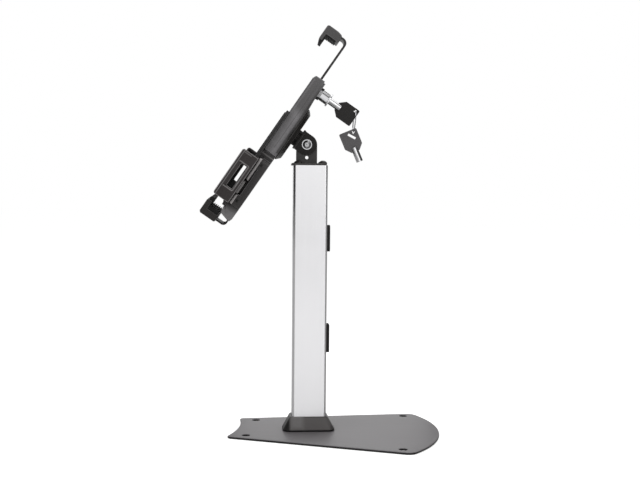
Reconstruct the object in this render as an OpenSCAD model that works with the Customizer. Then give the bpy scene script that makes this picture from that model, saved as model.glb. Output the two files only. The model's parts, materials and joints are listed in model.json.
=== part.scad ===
// Desktop tablet stand. A steel foot carries a swivelling aluminium mast. A
// tilting fork on the mast holds a turning holder with a lockable sliding hook
// above, a sliding hook below and a sliding clamp on each side.
// Origin: mast axis on the table. X is across, -Y is the user's side, Z is up.

/* [Pose] */
// Turn of the mast and head on the foot, degrees
mast_turn = 9; // [-90:1:90]
// Lean of the tablet above level, degrees
lean = 55.5; // [15:0.5:80]
// Turn of the holder about its own normal, degrees
holder_turn = 4.5; // [-90:0.5:90]

/* [Foot plate] */
// Thickness of the steel plate
plate_t = 2.4; // [2:0.2:4]
// Thickness of the anti-slip mat
mat_t = 0.6; // [0.4:0.1:1]
// How far the mat's edge stays inside the plate's
mat_inset = 1.5; // [1:0.5:4]
// Slope of the straight sides from the Y axis, degrees
side_slope = 13.84; // [10:0.1:18]
// Distance from the mast axis to the straight sides
side_reach = 67.9; // [64:0.1:72]
// Radius of the rear edge's arc
rear_arc_r = 176; // [174:1:180]
// Y of the rear arc's centre
rear_arc_y = -22; // [-24:1:-20]
// Radius of the two rear corners
rear_corner_r = 12; // [8:0.5:14]
// Radius of the front edge's hollow arc
front_arc_r = 176; // [172:1:180]
// Y of the front edge's deepest point
front_y = -83; // [-84:0.5:-80]
// Radius of the two front corners
front_corner_r = 4.5; // [4:0.5:6]
// Diameter of the four fixing holes
fix_hole_d = 10; // [8:0.5:11]
// Spacing of the two front fixing holes
front_hole_gap = 80; // [76:1:84]
// Y of the front fixing holes
front_hole_y = -68; // [-70:0.5:-66]
// Spacing of the two rear fixing holes
rear_hole_gap = 170; // [160:1:174]
// Y of the rear fixing holes
rear_hole_y = 112; // [108:1:116]

/* [Mast] */
// Width of the mast across X
mast_x = 25; // [24:0.5:26]
// Depth of the mast along Y
mast_y = 40; // [39:0.5:41]
// Corner radius of the mast
mast_r = 3; // [2:0.5:4]
// Wall of the mast
mast_wall = 1.8; // [1.6:0.1:2]
// Z of the mast's upper end
mast_top = 314; // [300:1:330]
// X of the four screw channels
channel_x = 7; // [6.8:0.1:7.2]
// Y of the four screw channels
channel_y = 14.4; // [14:0.1:14.8]
// Outer radius of a screw channel
channel_r = 4; // [3.6:0.1:4.2]
// Thickness of the turning foot plate inside the collar
swivel_t = 3; // [2.5:0.5:4]
// Height of the foot collar
collar_h = 17; // [14:0.5:20]
// Size of the collar's lower edge, X then Y
collar_low = [33, 61]; // [30:0.5:64]
// Size of the collar's upper edge, X then Y
collar_high = [28, 44]; // [28:0.5:46]
// Z of the two cable clips' lower ends
clip_z = [95, 213.5]; // [60:0.5:270]
// Height of the two cable clips
clip_h = [33, 31]; // [25:0.5:36]

/* [Tilt joint] */
// Thickness of the mast bracket's upper plate
bracket_t = 2.3; // [2:0.1:3]
// Thickness of the bracket's upright tab
tab_t = 3; // [2.5:0.1:3.2]
// Radius of the tab's round end
tab_r = 12.3; // [12:0.1:12.4]
// Y of the tilt bolt
bolt_y = -4.3; // [-5:0.1:-3.5]
// Z of the tilt bolt above the mast's upper end
bolt_rise = 24.1; // [24:0.1:26]
// Thickness of a tilt friction washer
slip_t = 0.4; // [0.3:0.1:0.6]
// Thickness of a fork ear
ear_t = 2.5; // [2:0.1:3]
// Radius of the fork ears' round ends
ear_r = 12; // [11.5:0.1:12.3]
// Normal distance from tilt axis to the fork web's front
web_w = 12; // [11.8:0.1:12]
// Width of the fork web
web_x = 24; // [22:1:26]
// Radius of the boss between web and hub
boss_r = 10; // [9.8:0.1:10.5]
// Radius of the spigot that the holder turns on
spigot_r = 6; // [5.5:0.1:6]

/* [Hub and casings] */
// Normal distance from tilt axis to the hub's rear face
hub_w = 15.7; // [15.5:0.1:16]
// Radius of the hub's rear face
hub_rear_r = 30; // [28:0.5:31]
// Radius of the hub's rim
hub_rim_r = 35; // [34:0.5:36]
// Thickness of the hub disc
hub_t = 5.8; // [5.6:0.1:6]
// Gap between the arms and the cover above them
cover_gap = 2.1; // [2.1:0.1:2.5]
// Wall of the casings
wall = 2; // [1.8:0.1:2.2]
// Height of the seam between the casings along the holder
seam_u = -32; // [-33:0.5:-31]
// Height of the upper casing's end
upper_u = 70; // [69:0.5:72]
// Half width of the upper casing
upper_x = 36; // [35.5:0.5:38]
// Height of the lower casing's end
lower_u = -122.8; // [-124:0.2:-122]
// Half width of the lower casing
lower_x = 34; // [33.5:0.5:35]
// Half width of the cross-arm
cross_x = 58; // [54:1:60]
// Lower and upper edge of the cross-arm
cross_u = [-103, -41]; // [-106:0.5:-40]
// Lower and upper edge of the arm channel in the cross-arm
channel_u = [-89, -55]; // [-90:0.5:-54]
// Half width of the front cover
cover_x = 48; // [46:0.5:48]
// Lower and upper edge of the front cover
cover_u = [-110, 19]; // [-112:0.5:20]
// Thickness of the front cover
cover_t = 3.4; // [3:0.1:3.6]
// Thickness of the cushion on the cover
cushion_t = 1; // [0.8:0.1:1.5]

/* [Top slider] */
// Half width of the top bar
bar_x = 14; // [13.5:0.1:14.2]
// Height of the top bar above the casings' rear
bar_rise = 7; // [6.8:0.1:7.1]
// Thickness of the top bar
bar_t = 2.5; // [2:0.1:2.6]
// Height of the top hook's upper face
hook_u = 125.8; // [120:0.2:130]
// Half width of the top hook
hook_x = 20; // [18:0.5:26]
// Depth of the top hook from rear to front
hook_depth = 20.9; // [20:0.1:22]
// Thickness of the top hook's upper wall
hook_wall = 10.4; // [10:0.1:11]
// How far the top hook's lip reaches down from its upper face
hook_reach = 18.8; // [18:0.1:20]
// Half width of the slot that the lock cam turns in
cam_slot_x = 6.5; // [6.3:0.1:6.8]
// Distance between the top bar's lock notches
notch_pitch = 15; // [15:0.5:16]

/* [Bottom slider] */
// Half width of the bottom bar
foot_bar_x = 12; // [11:0.1:12]
// Thickness of the bottom bar
foot_bar_t = 2; // [1.8:0.1:2]
// Height of the bottom hook's lower face
shelf_u = -133.8; // [-137:0.2:-133]
// Half width of the bottom hook
shelf_x = 26; // [20:0.5:30]
// Depth of the bottom hook from rear to front
shelf_depth = 21.7; // [21:0.1:23]
// Thickness of the bottom hook's lower wall
shelf_wall = 8.3; // [8:0.1:9]
// How far the bottom hook's lip reaches up from its lower face
shelf_reach = 18.5; // [18:0.1:20]
// How far the bottom slider moves in, then out
shelf_travel = [2, 30]; // [1:1:30]

/* [Side clamps] */
// Height of the arms above the middle plate
arm_rise = 5.3; // [5.3:0.1:5.5]
// Thickness of an arm
arm_t = 2.5; // [2.3:0.1:2.5]
// Height of an arm strip
arm_h = 15.5; // [15:0.1:15.5]
// Half distance between the clamps' outer faces
clamp_x = 75; // [70:0.5:80]
// Lower and upper edge of the clamps
clamp_u = [-102, -43]; // [-104:0.5:-42]
// Depth of the clamps from the arms' front to their own
clamp_depth = 20.5; // [19.5:0.1:21.5]
// Lower and upper edge of the window
window_u = [-87, -58]; // [-88:0.5:-57]
// Height of the window's rear edge above the arms
window_rise = 5.5; // [5.3:0.1:6]
// Depth of the window
window_depth = 7; // [6:0.1:7.5]
// How far the window's rim widens it, behind and beside, then in front
window_rim = [1.5, 4.2]; // [1:0.1:4.5]

/* [Lock and keys] */
// Height of the lock along the holder
lock_u = 57; // [56.5:0.1:57]
// How far the lock stands out behind the casings
lock_l = 14; // [13.5:0.1:14.5]
// Radius of the key's shaft
key_r = 4; // [3.8:0.1:4]
// Width of a key's bow
bow_x = 21.6; // [21:0.1:23]
// Length of a key's bow
bow_l = 25.5; // [24.5:0.1:26]
// Thickness of a key's bow
bow_t = 3; // [2.5:0.1:3]
// Radius of the key ring's wire
ring_wire_r = 0.65; // [0.5:0.05:0.7]

/* [Hidden] */
$fn = 64;
// Radial play of a turning or screwed fit
play = 0.05;
// Gap beside a sliding piece
glide = 0.1;
// Gap between two pieces that move past each other
pass_gap = 0.3;
black = "#2b2928";
grey = "#5a595c";
steel = "#8d8e91";
chrome = "#d5d6da";
rubber = "#1f1f20";

mat_top = mat_t;
plate_top = mat_t + plate_t;
foot_bolt_r = 3;
foot_head_r = foot_bolt_r + plate_t;
slide_t = 1;
swivel_z = plate_top + slide_t;
mast_z = swivel_z + swivel_t;
swivel_size = [28, 46];
collar_z = plate_top + pass_gap;
mast_screw_r = 2.5;

bolt_r = 3;
bolt_z = mast_top + bolt_rise;
bracket_top = mast_top + bracket_t;
ear_in = tab_t / 2 + slip_t;
ear_out = ear_in + ear_t;
tilt_washer_t = 1;
rear_w = hub_w + hub_t;
spigot_top = rear_w + 1.1;
pivot_washer_t = 1.5;
pin_r = 1;
pin_reach = 8.6;

bar_w = rear_w + bar_rise;
foot_bar_w = rear_w + wall + 0.5;
floor_w = foot_bar_w - glide;
mid_w = foot_bar_w + foot_bar_t + 0.2;
mid_t = 1.5;
mid_top_w = mid_w + mid_t;
arm_w = mid_top_w + arm_rise;
arm_front_w = arm_w + arm_t;
cover_w = arm_front_w + cover_gap;
cover_top_w = cover_w + cover_t;
front_w = cover_top_w + cushion_t;
channel_w = arm_w - 3;
cross_w = arm_w - 1;
slope_u = 35;
upper_rear_w = rear_w + 3.1;
upper_front_w = cover_w + 0.6;
lower_front_w = cover_w + 0.5;
guide_top_w = bar_w + bar_t + 0.2;
keeper_u = 27;
stop_u = cross_u[0] + 8;
hook_w = bar_w + 9.2;
hook_front_w = hook_w + hook_depth;
hook_in_u = hook_u - hook_wall;
hook_lip_u = hook_u - hook_reach;
shelf_w = foot_bar_w + 12.5;
shelf_front_w = shelf_w + shelf_depth;
shelf_in_u = shelf_u + shelf_wall;
shelf_lip_u = shelf_u + shelf_reach;
clamp_w = arm_front_w + clamp_depth;
window_w = [arm_front_w + window_rise, arm_front_w + window_rise + window_depth];
arm_screw_x = 5;
arm_mid_u = [channel_u[0] + 1 + arm_h / 2, channel_u[1] - 1 - arm_h / 2];
arm_slot_x = [-7.2, 37.2];
screw_r = 1.5;
boss_post_r = 3.5;
cover_screw_at = [for (u = [cover_u[1] - 9, seam_u + 8, seam_u - 6, cover_u[0] + 5])
    [lower_x - 7, u]];
clamp_wall = 4;
clamp_back_t = 1.8;
clamp_back_x = cover_x - 2;
pad_t = 1.6;

cam_tip_r = 9.2;
notch_r = cam_tip_r + 0.4;
notch_steps = [-2, -1, 0, 1, 2, 3];
barrel_r = 6.3;
barrel_flat_x = 5.4;
nut_seat_w = rear_w + 1.2;
barrel_end_w = bar_w - 1.1;
lock_face_w = rear_w - lock_l;
plug_w = lock_face_w + 2.4;
key_hole = [7.4, 4.2];
spare_hole = [5.9, 3.7];
key_end_w = plug_w - 0.1;
shaft_l = 17.6;
shaft_start = 20.6;
key_bow_w = key_end_w - shaft_start - shaft_l;
ring_at = hole_in_mast(key_hole);
spare_end = [ring_at[0], 42.95, 354.2];
spare_tilt = 22.9;
spare_at = spare_end + [0, spare_hole[0] * cos(spare_tilt) + spare_hole[1] * sin(spare_tilt),
    spare_hole[0] * sin(spare_tilt) - spare_hole[1] * cos(spare_tilt)];
ring_drop = ring_at - spare_at;
ring_r = norm(ring_drop) / 2 - 0.3;

// Where a hole of the inserted key lies in the mast's frame
function hole_in_mast(hole) =
    let (u = (lock_u + hole[0]) * cos(holder_turn), w = key_bow_w + hole[1])
    [(lock_u + hole[0]) * sin(holder_turn),
     bolt_y + u * cos(lean) - w * sin(lean),
     bolt_z + u * sin(lean) + w * cos(lean)];

// Frames: each moving stage is drawn in its own axes

module on_mast() rotate([0, 0, mast_turn]) children();

module on_fork() on_mast() translate([0, bolt_y, bolt_z]) rotate([lean, 0, 0]) children();

module on_holder() on_fork() rotate([0, 0, -holder_turn]) children();

module on_lock() on_holder() translate([0, lock_u, 0]) children();

module on_spare() on_mast() translate(spare_end) rotate([spare_tilt, 0, 0]) children();

// Shared shapes

module rounded(size, r) {
    square([size[0] - 2 * r, size[1]], center = true);
    square([size[0], size[1] - 2 * r], center = true);
    for (x = [-1, 1], y = [-1, 1])
        translate([x * (size[0] / 2 - r), y * (size[1] / 2 - r)]) circle(r = r);
}

// A rounded rectangle between two corners
module rounded_span(low, high, r) translate((low + high) / 2) rounded(high - low, r);

module both_sides() {
    children();
    mirror([1, 0, 0]) children();
}

// A side outline (height, normal) made as wide as width across the holder
module across(width) rotate([90, 0, 90]) linear_extrude(width, center = true) children();

// A plan outline (X, normal) run along the holder between two heights
module along(span) translate([0, span[1], 0]) rotate([90, 0, 0])
    linear_extrude(span[1] - span[0]) children();

// A plan outline (X, height) between two normal distances
module layer(from, to) translate([0, 0, from]) linear_extrude(to - from) children();

module corners(x, y) for (i = [-1, 1], j = [-1, 1]) translate([i * x, j * y]) children();

module drill(r, from, to) translate([0, 0, from]) cylinder(r = r, h = to - from);

module disc(outer, inner, from, to) difference() {
    drill(outer, from, to);
    drill(inner, from - 1, to + 1);
}

// Countersunk screw with its head's top at zero, pointing down
module flush_screw(r, length, head) difference() {
    union() {
        drill(r, -length, -(head - r));
        translate([0, 0, -(head - r)]) cylinder(r1 = r, r2 = head, h = head - r);
    }
    translate([0, 0, -0.45 * head]) cylinder(r = 0.45 * head, h = head, $fn = 6);
}

// The hole and sink for a flush screw, with play all round
module flush_hole(r, length, head) {
    drill(r + play, -length, 1);
    translate([0, 0, -(head - r)]) cylinder(r1 = r + play, r2 = head + play, h = head - r);
    drill(head + play, -0.001, 1);
}

// Domed screw head on zero with its shank below
module dome_screw(r, length, head, head_h) {
    bulge_r = (head * head + head_h * head_h) / (2 * head_h);
    drill(r, -length, 0.1);
    difference() {
        intersection() {
            drill(head, 0, head_h);
            translate([0, 0, head_h - bulge_r]) sphere(r = bulge_r);
        }
        children();
    }
}

module hex_nut(across_flats, bore, h) difference() {
    cylinder(r = across_flats / sqrt(3), h = h, $fn = 6);
    drill(bore, -1, h + 1);
}

// Foot

// What rounds an outline's corner off between the directions a and b
module corner_cut(centre, r, a, b) difference() {
    polygon([centre, centre + (r + 12) * a, centre + (r + 12) * b]);
    translate(centre) circle(r = r);
}

module foot_outline(inset) {
    reach = side_reach - inset;
    rear_r = rear_arc_r - inset;
    front_r = front_arc_r + inset;
    front_arc_y = front_y - front_arc_r;
    rear_c_r = rear_corner_r - inset;
    front_c_r = front_corner_r - inset;
    side = [cos(side_slope), -sin(side_slope)];
    rear_a = acos((reach - rear_c_r - side[1] * rear_arc_y) / (rear_r - rear_c_r)) - side_slope;
    front_a = acos((reach - front_c_r - side[1] * front_arc_y) / (front_r + front_c_r)) - side_slope;
    rear_dir = [cos(rear_a), sin(rear_a)];
    front_dir = [cos(front_a), sin(front_a)];
    rear_c = [0, rear_arc_y] + (rear_r - rear_c_r) * rear_dir;
    front_c = [0, front_arc_y] + (front_r + front_c_r) * front_dir;
    side_x = [for (y = [-130, 170]) (reach - side[1] * y) / side[0]];
    difference() {
        intersection() {
            translate([0, rear_arc_y]) circle(r = rear_r, $fn = 200);
            polygon([[-side_x[0], -130], [side_x[0], -130], [side_x[1], 170], [-side_x[1], 170]]);
        }
        translate([0, front_arc_y]) circle(r = front_r, $fn = 200);
        both_sides() corner_cut(rear_c, rear_c_r, side, rear_dir);
        both_sides() corner_cut(front_c, front_c_r, side, -front_dir);
    }
}

module fix_holes(r) {
    for (x = [-1, 1]) {
        translate([x * front_hole_gap / 2, front_hole_y]) circle(r = r);
        translate([x * rear_hole_gap / 2, rear_hole_y]) circle(r = r);
    }
}

module base_mat() color(rubber) linear_extrude(mat_t) difference() {
    foot_outline(mat_inset);
    fix_holes(fix_hole_d / 2 + 2);
}

module base_plate() color(black) difference() {
    layer(mat_top, plate_top) difference() {
        foot_outline(0);
        fix_holes(fix_hole_d / 2);
    }
    translate([0, 0, mat_top]) mirror([0, 0, 1]) flush_hole(foot_bolt_r, 5, foot_head_r);
}

module foot_bolt() color(steel) translate([0, 0, mat_top]) mirror([0, 0, 1])
    flush_screw(foot_bolt_r, 15, foot_head_r);

module slide_washer() color("#e6e3da")
    disc(12.5, foot_bolt_r + play, plate_top, swivel_z);

module foot_spring() color(steel) disc(6.2, foot_bolt_r + play, mast_z, mast_z + 1);

module foot_nut() color(steel) translate([0, 0, mast_z + 1]) hex_nut(10, foot_bolt_r + play, 6);

// Mast

module swivel_plate() color(steel) on_mast() difference() {
    layer(swivel_z, mast_z) rounded(swivel_size, 4);
    drill(foot_bolt_r + play, 0, 20);
    corners(channel_x, channel_y) translate([0, 0, swivel_z]) mirror([0, 0, 1])
        flush_hole(mast_screw_r, 5, 4.5);
}

module swivel_screws() color(steel) on_mast() corners(channel_x, channel_y)
    translate([0, 0, swivel_z]) mirror([0, 0, 1]) flush_screw(mast_screw_r, 18, 4.5);

module foot_collar() color(black) on_mast() difference() {
    translate([0, 0, collar_z]) hull() {
        linear_extrude(1) rounded(collar_low, 8);
        translate([0, 0, collar_h - 1]) linear_extrude(1) rounded(collar_high, 5);
    }
    layer(0, 60) rounded([mast_x, mast_y] + [2, 2] * glide, mast_r + glide);
    layer(0, mast_z) rounded(swivel_size + [2, 2] * glide, 4 + glide);
}

module mast() color(chrome) on_mast() layer(mast_z, mast_top) difference() {
    union() {
        difference() {
            rounded([mast_x, mast_y], mast_r);
            rounded([mast_x, mast_y] - 2 * [mast_wall, mast_wall], mast_r - mast_wall);
        }
        corners(channel_x, channel_y) circle(r = channel_r);
    }
    corners(channel_x, channel_y) circle(r = mast_screw_r + play);
}

module cable_clip(z, h) color(black) on_mast() translate([0, mast_y / 2, z]) difference() {
    rotate([90, 0, 0]) mirror([0, 0, 1]) linear_extrude(3.5) translate([0, h / 2])
        rounded([18, h], 3);
    translate([-6.5, 1.2, -1]) cube([13, 1.3, h + 2]);
}

module lower_clip() cable_clip(clip_z[0], clip_h[0]);

module upper_clip() cable_clip(clip_z[1], clip_h[1]);

// Tilt joint

module mast_bracket() color(black) on_mast() difference() {
    union() {
        layer(mast_top, bracket_top) rounded_span([-mast_x / 2, -22.1], [mast_x / 2, 18.9], 2);
        across(tab_t) {
            translate([bolt_y, bolt_z]) circle(r = tab_r);
            translate([bolt_y - tab_r, mast_top]) square([2 * tab_r, bolt_rise]);
        }
    }
    corners(channel_x, channel_y) drill(mast_screw_r + play, mast_top - 1, bracket_top + 1);
    translate([0, bolt_y, bolt_z]) rotate([0, 90, 0]) drill(bolt_r + play, -9, 9);
    translate([0, bolt_y + 0.2, bracket_top + 6.9]) rotate([0, 90, 0]) drill(1.9, -9, 9);
}

module mast_screws() color(black) on_mast() corners(channel_x, channel_y)
    translate([0, 0, bracket_top]) dome_screw(mast_screw_r, 18, 5.3, 3.5)
        for (a = [0, 90]) rotate([0, 0, a]) translate([-2.5, -0.5, 1.6]) cube([5, 1, 3]);

module tilt_fork() color(black) on_fork() difference() {
    union() {
        both_sides() translate([ear_in + ear_t / 2, 0, 0]) across(ear_t) {
            circle(r = ear_r);
            translate([-ear_r, 0]) square([2 * ear_r, web_w]);
        }
        layer(web_w - 2.5, web_w) rounded([web_x, 2 * ear_r], 1.5);
        drill(boss_r, web_w, hub_w);
        drill(spigot_r, hub_w, spigot_top);
    }
    translate([-ear_in, -20, -20]) cube([2 * ear_in, 40, 20 + tab_r + pass_gap]);
    rotate([0, 90, 0]) drill(bolt_r + play, -20, 20);
    drill(2.5 + play, 13.6, 40);
    translate([0, pin_reach, 0]) drill(pin_r + play, 13.4, 20);
}

module tilt_bolt() color(steel) on_fork() translate([ear_out + tilt_washer_t, 0, 0])
    rotate([0, 90, 0]) dome_screw(bolt_r, 2 * ear_out + 2 * tilt_washer_t + 6.5, 5, 3.2)
        difference() {
            translate([0, 0, 1.2]) cylinder(r = 2.6, h = 3, $fn = 6);
            drill(0.8, 0, 2.8);
        }

module tilt_nut() color(steel) on_fork() translate([-ear_out - tilt_washer_t, 0, 0])
    rotate([0, -90, 0]) hex_nut(10, bolt_r + play, 6);

module tilt_washers() color(chrome) on_fork() rotate([0, 90, 0]) both_ends()
    disc(6, bolt_r + play, ear_out, ear_out + tilt_washer_t);

module tilt_slips() color("#e6e3da") on_fork() rotate([0, 90, 0]) both_ends()
    disc(10.5, bolt_r + play, tab_t / 2, ear_in);

module both_ends() {
    children();
    mirror([0, 0, 1]) children();
}

module stop_pin() color(steel) on_fork() translate([0, pin_reach, 0]) drill(pin_r, 13.4, 17.8);

module pivot_screw() color(steel) on_fork() translate([0, 0, spigot_top + pivot_washer_t])
    dome_screw(2.5, 9.5, 4.75, 2.7) translate([0, 0, 1]) cylinder(r = 1.7, h = 3, $fn = 6);

module pivot_washer() color(steel) on_fork()
    disc(12, 2.5 + play, spigot_top, spigot_top + pivot_washer_t);

// Hub and casings

module hub_disc() color(black) on_holder() difference() {
    union() {
        translate([0, 0, hub_w]) cylinder(r1 = hub_rear_r, r2 = hub_rim_r, h = 4.5);
        drill(hub_rim_r, hub_w + 4.5, rear_w);
    }
    drill(spigot_r + play, 0, 40);
    intersection() {
        disc(pin_reach + pin_r + 0.3, pin_reach - pin_r - 0.3, hub_w - 1, hub_w + 2.4);
        translate([-15, -pin_r - 0.6, 0]) cube([30, 30, 40]);
    }
    corners(15.5, 15.5) translate([0, 0, rear_w + wall]) flush_hole(screw_r, 6, 3);
}

module pivot_slip() color("#e6e3da") on_holder()
    disc(11.5, spigot_r + play, rear_w, spigot_top);

module hub_screws() color(steel) on_holder() corners(15.5, 15.5)
    translate([0, 0, rear_w + wall]) flush_screw(screw_r, 6, 3);

// Sides of a casing that lean in towards the rear
module leaning_sides(half, top_w) polygon([
    [half, top_w], [half, rear_w + 8.5], [half - 2.5, rear_w - 1],
    [2.5 - half, rear_w - 1], [-half, rear_w + 8.5], [-half, top_w]]);

module screw_posts(heights, floor) for (at = cover_screw_at)
    if (at[1] > heights[0] && at[1] < heights[1])
        both_sides() translate(at) drill(boss_post_r, floor, cover_w);

module screw_bores() for (at = cover_screw_at) both_sides() translate(at)
    drill(screw_r + play, cover_w - 9, cover_w + 9);

module keeper_bores() both_sides() translate([bar_x + 5, keeper_u, 0])
    drill(screw_r + play, rear_w + 4.5, rear_w + 18.5);

module upper_casing() color(grey) on_holder() difference() {
    union() {
        difference() {
            intersection() {
                across(4 * upper_x) polygon([
                    [seam_u, rear_w], [slope_u, rear_w], [upper_u, upper_rear_w],
                    [upper_u - 0.4, upper_front_w - 1.8], [upper_u - 4.7, upper_front_w],
                    [cover_u[1] + pass_gap, upper_front_w], [cover_u[1] + pass_gap, cover_w],
                    [seam_u, cover_w]]);
                along([seam_u - 1, upper_u + 1]) leaning_sides(upper_x, 60);
            }
            across(2 * upper_x - 2.5 * wall - 2.5) polygon([
                [seam_u - 1, rear_w + wall], [slope_u, rear_w + wall],
                [upper_u - wall, upper_rear_w + wall - 0.2],
                [upper_u - wall - 0.4, upper_front_w - 3],
                [upper_u - wall - 3, upper_front_w - wall], [cover_u[1] - 3, upper_front_w - wall],
                [cover_u[1] - 3, 60], [seam_u - 1, 60]]);
        }
        // Rails that carry and guide the top bar
        both_sides() layer(rear_w + 1, bar_w - glide)
            translate([bar_x - 4, 16]) square([8, upper_u - 17]);
        both_sides() layer(rear_w + 1, guide_top_w)
            translate([bar_x + glide, 16]) square([4 - glide, upper_u - 17]);
        both_sides() translate([bar_x + 5, keeper_u, 0]) drill(boss_post_r, rear_w + 1, guide_top_w);
        screw_posts([seam_u, 60], rear_w + 1);
        // Seat for the lock's nut
        translate([0, lock_u, 0]) drill(8.5, nut_seat_w, rear_w + 4);
    }
    drill(13, 0, rear_w + wall + 0.5);
    corners(15.5, 15.5) translate([0, 0, rear_w + wall]) flush_hole(screw_r, 6, 3);
    translate([0, lock_u, 0]) lock_section(play, 0, barrel_end_w);
    across(2 * (bar_x + glide)) rounded_span([upper_u - 10, bar_w - glide],
        [upper_u + 20, bar_w + bar_t + glide], 0.2);
    keeper_bores();
    screw_bores();
}

module lower_casing() color("#6d6c70") on_holder() difference() {
    union() {
        difference() {
            union() {
                intersection() {
                    across(4 * lower_x) polygon([
                        [seam_u, rear_w], [lower_u + 4.5, rear_w], [lower_u, rear_w + 1.5],
                        [lower_u, rear_w + 4.5], [lower_u + 2.9, lower_front_w - 2],
                        [lower_u + 9.8, lower_front_w],
                        [cover_u[0] - pass_gap, lower_front_w], [cover_u[0] - pass_gap, cover_w],
                        [seam_u, cover_w]]);
                    along([lower_u - 1, seam_u + 1]) leaning_sides(lower_x, 60);
                }
                layer(rear_w, cross_w)
                    rounded_span([-cross_x, cross_u[0]], [cross_x, cross_u[1]], 4);
            }
            across(2 * lower_x - 5) polygon([
                [seam_u + 1, floor_w], [lower_u + 4, floor_w], [lower_u + wall, rear_w + 3.5],
                [lower_u + wall, rear_w + 4.5], [lower_u + 4.7, lower_front_w - 3.1],
                [lower_u + 10.2, lower_front_w - wall], [cover_u[0] + 2, lower_front_w - wall],
                [cover_u[0] + 2, 60], [seam_u + 1, 60]]);
            layer(floor_w, channel_w - wall) both_sides() rounded_span([lower_x, cross_u[0] + wall],
                [cross_x - wall, cross_u[1] - wall], 2);
        }
        // Ledges under the middle plate, beside the bottom bar
        both_sides() layer(rear_w + 1, mid_w) {
            translate([foot_bar_x + glide, cross_u[0] + 3]) square([3, 55]);
            translate([lower_x - 6, cross_u[0] + 3]) square([3.5, 55]);
        }
        screw_posts([-200, seam_u], rear_w + 1);
    }
    // Channel and side slots for the two arms
    layer(channel_w, cross_w + 1) translate([-90, channel_u[0]])
        square([180, channel_u[1] - channel_u[0]]);
    across(2 * lower_x + 2) rounded_span([channel_u[0] + 0.8, arm_w - 0.15],
        [channel_u[1] - 0.8, arm_front_w + 0.15], 0.2);
    across(2 * (foot_bar_x + glide)) rounded_span([-140, floor_w],
        [lower_u + 10, foot_bar_w + foot_bar_t + glide], 0.2);
    translate([0, stop_u, 0]) drill(2 + play, rear_w + 0.5, 40);
    screw_bores();
}

module bar_keeper() color(steel) on_holder() difference() {
    layer(guide_top_w, guide_top_w + 1.5) rounded_span([-bar_x - 9, keeper_u - 6],
        [bar_x + 9, keeper_u + 6], 2);
    both_sides() translate([bar_x + 5, keeper_u, guide_top_w + 1.5])
        flush_hole(screw_r, 5, 2.8);
    keeper_bores();
}

module mid_plate() color(steel) on_holder() difference() {
    layer(mid_w, mid_top_w) rounded_span([3 - lower_x, cross_u[0] + 3],
        [lower_x - 3, cross_u[0] + 58], 2);
    translate([0, stop_u, 0]) drill(2 + play, 20, 40);
    arm_screw_places(0) drill(2 + play, 20, 40);
}

module arm_screw_places(w) for (s = [-1, 1])
    translate([arm_screw_x * s, arm_mid_u[(s + 1) / 2], w]) children();

module stop_screw() color(steel) on_holder() translate([0, stop_u, mid_top_w])
    dome_screw(2, mid_top_w - rear_w - 0.6, 3.6, 2.4)
        translate([0, 0, 0.8]) cylinder(r = 1.4, h = 3, $fn = 6);

module arm_guide() color(black) on_holder() difference() {
    layer(mid_top_w, cover_w)
        translate([-16, channel_u[0] - 1.5]) square([32, channel_u[1] - channel_u[0] + 3]);
    for (u = arm_mid_u) across(40) rounded_span([u - arm_h / 2 - glide, arm_w - glide],
        [u + arm_h / 2 + glide, arm_front_w + glide], 0.2);
    arm_screw_places(0) drill(2 + play, 20, 60);
}

module arm_glides() color(black) on_holder() both_sides() layer(channel_w, arm_w - glide)
    rounded_span([cross_x - 20, channel_u[0] + 0.5], [cross_x - 8, channel_u[1] - 0.5], 1);

module cover_outline(inset) rounded_span([-cover_x + inset, cover_u[0] + inset],
    [cover_x - inset, cover_u[1] - inset], 6 - inset / 2);

module front_cover() color("#3f3e41") on_holder() difference() {
    layer(cover_w, cover_top_w) cover_outline(0);
    for (at = cover_screw_at) both_sides() translate([at[0], at[1], cover_top_w])
        flush_hole(screw_r, 6, 3);
    arm_screw_places(cover_top_w) flush_hole(2, 6, 3.8);
}

module cover_screws() color(steel) on_holder() for (at = cover_screw_at) both_sides()
    translate([at[0], at[1], cover_top_w]) flush_screw(screw_r, 11, 3);

module arm_screws() color(steel) on_holder() arm_screw_places(cover_top_w)
    flush_screw(2, cover_top_w - mid_w - 0.1, 3.8);

module cushion() color(rubber) on_holder()
    layer(cover_top_w, front_w) cover_outline(3);

// Lock and keys

// The barrel's thread section, a circle with two flats
module lock_section(gap, from, to) intersection() {
    drill(barrel_r + gap, from, to);
    translate([-barrel_flat_x - gap, -9, from - 1])
        cube([2 * (barrel_flat_x + gap), 18, to - from + 2]);
}

module lock_barrel() color(chrome) on_lock() difference() {
    union() {
        drill(8.2, lock_face_w, lock_face_w + 2);
        lock_section(0, lock_face_w + 1, barrel_end_w);
    }
    drill(key_r + play, 0, 40);
}

module lock_nut() color(black) on_lock() difference() {
    translate([0, 0, nut_seat_w - 3.4]) cylinder(r = 15 / sqrt(3), h = 3.4, $fn = 6);
    drill(barrel_r + play, 0, 40);
}

module lock_plug() color(steel) on_lock() difference() {
    union() {
        drill(key_r, plug_w, bar_w + 0.2);
        drill(2.4, plug_w - 2, plug_w + 1);
        translate([-2.1, -2.1, bar_w]) cube([4.2, 4.2, bar_t - 0.3]);
    }
    drill(1.5 + play, bar_w - 6.5, 40);
}

module lock_cam() color(steel) on_lock() difference() {
    layer(bar_w + 0.2, bar_w + bar_t - 0.3) {
        circle(r = 5);
        intersection() {
            translate([-3, 0]) square([6, 12]);
            circle(r = cam_tip_r);
        }
    }
    translate([-2.15, -2.15, 20]) cube([4.3, 4.3, 20]);
}

module cam_screw() color(steel) on_lock() translate([0, 0, bar_w + bar_t - 0.3])
    dome_screw(1.5, 7, 2.9, 1.6) translate([0, 0, 0.7]) cylinder(r = 1.1, h = 3, $fn = 6);

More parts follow.
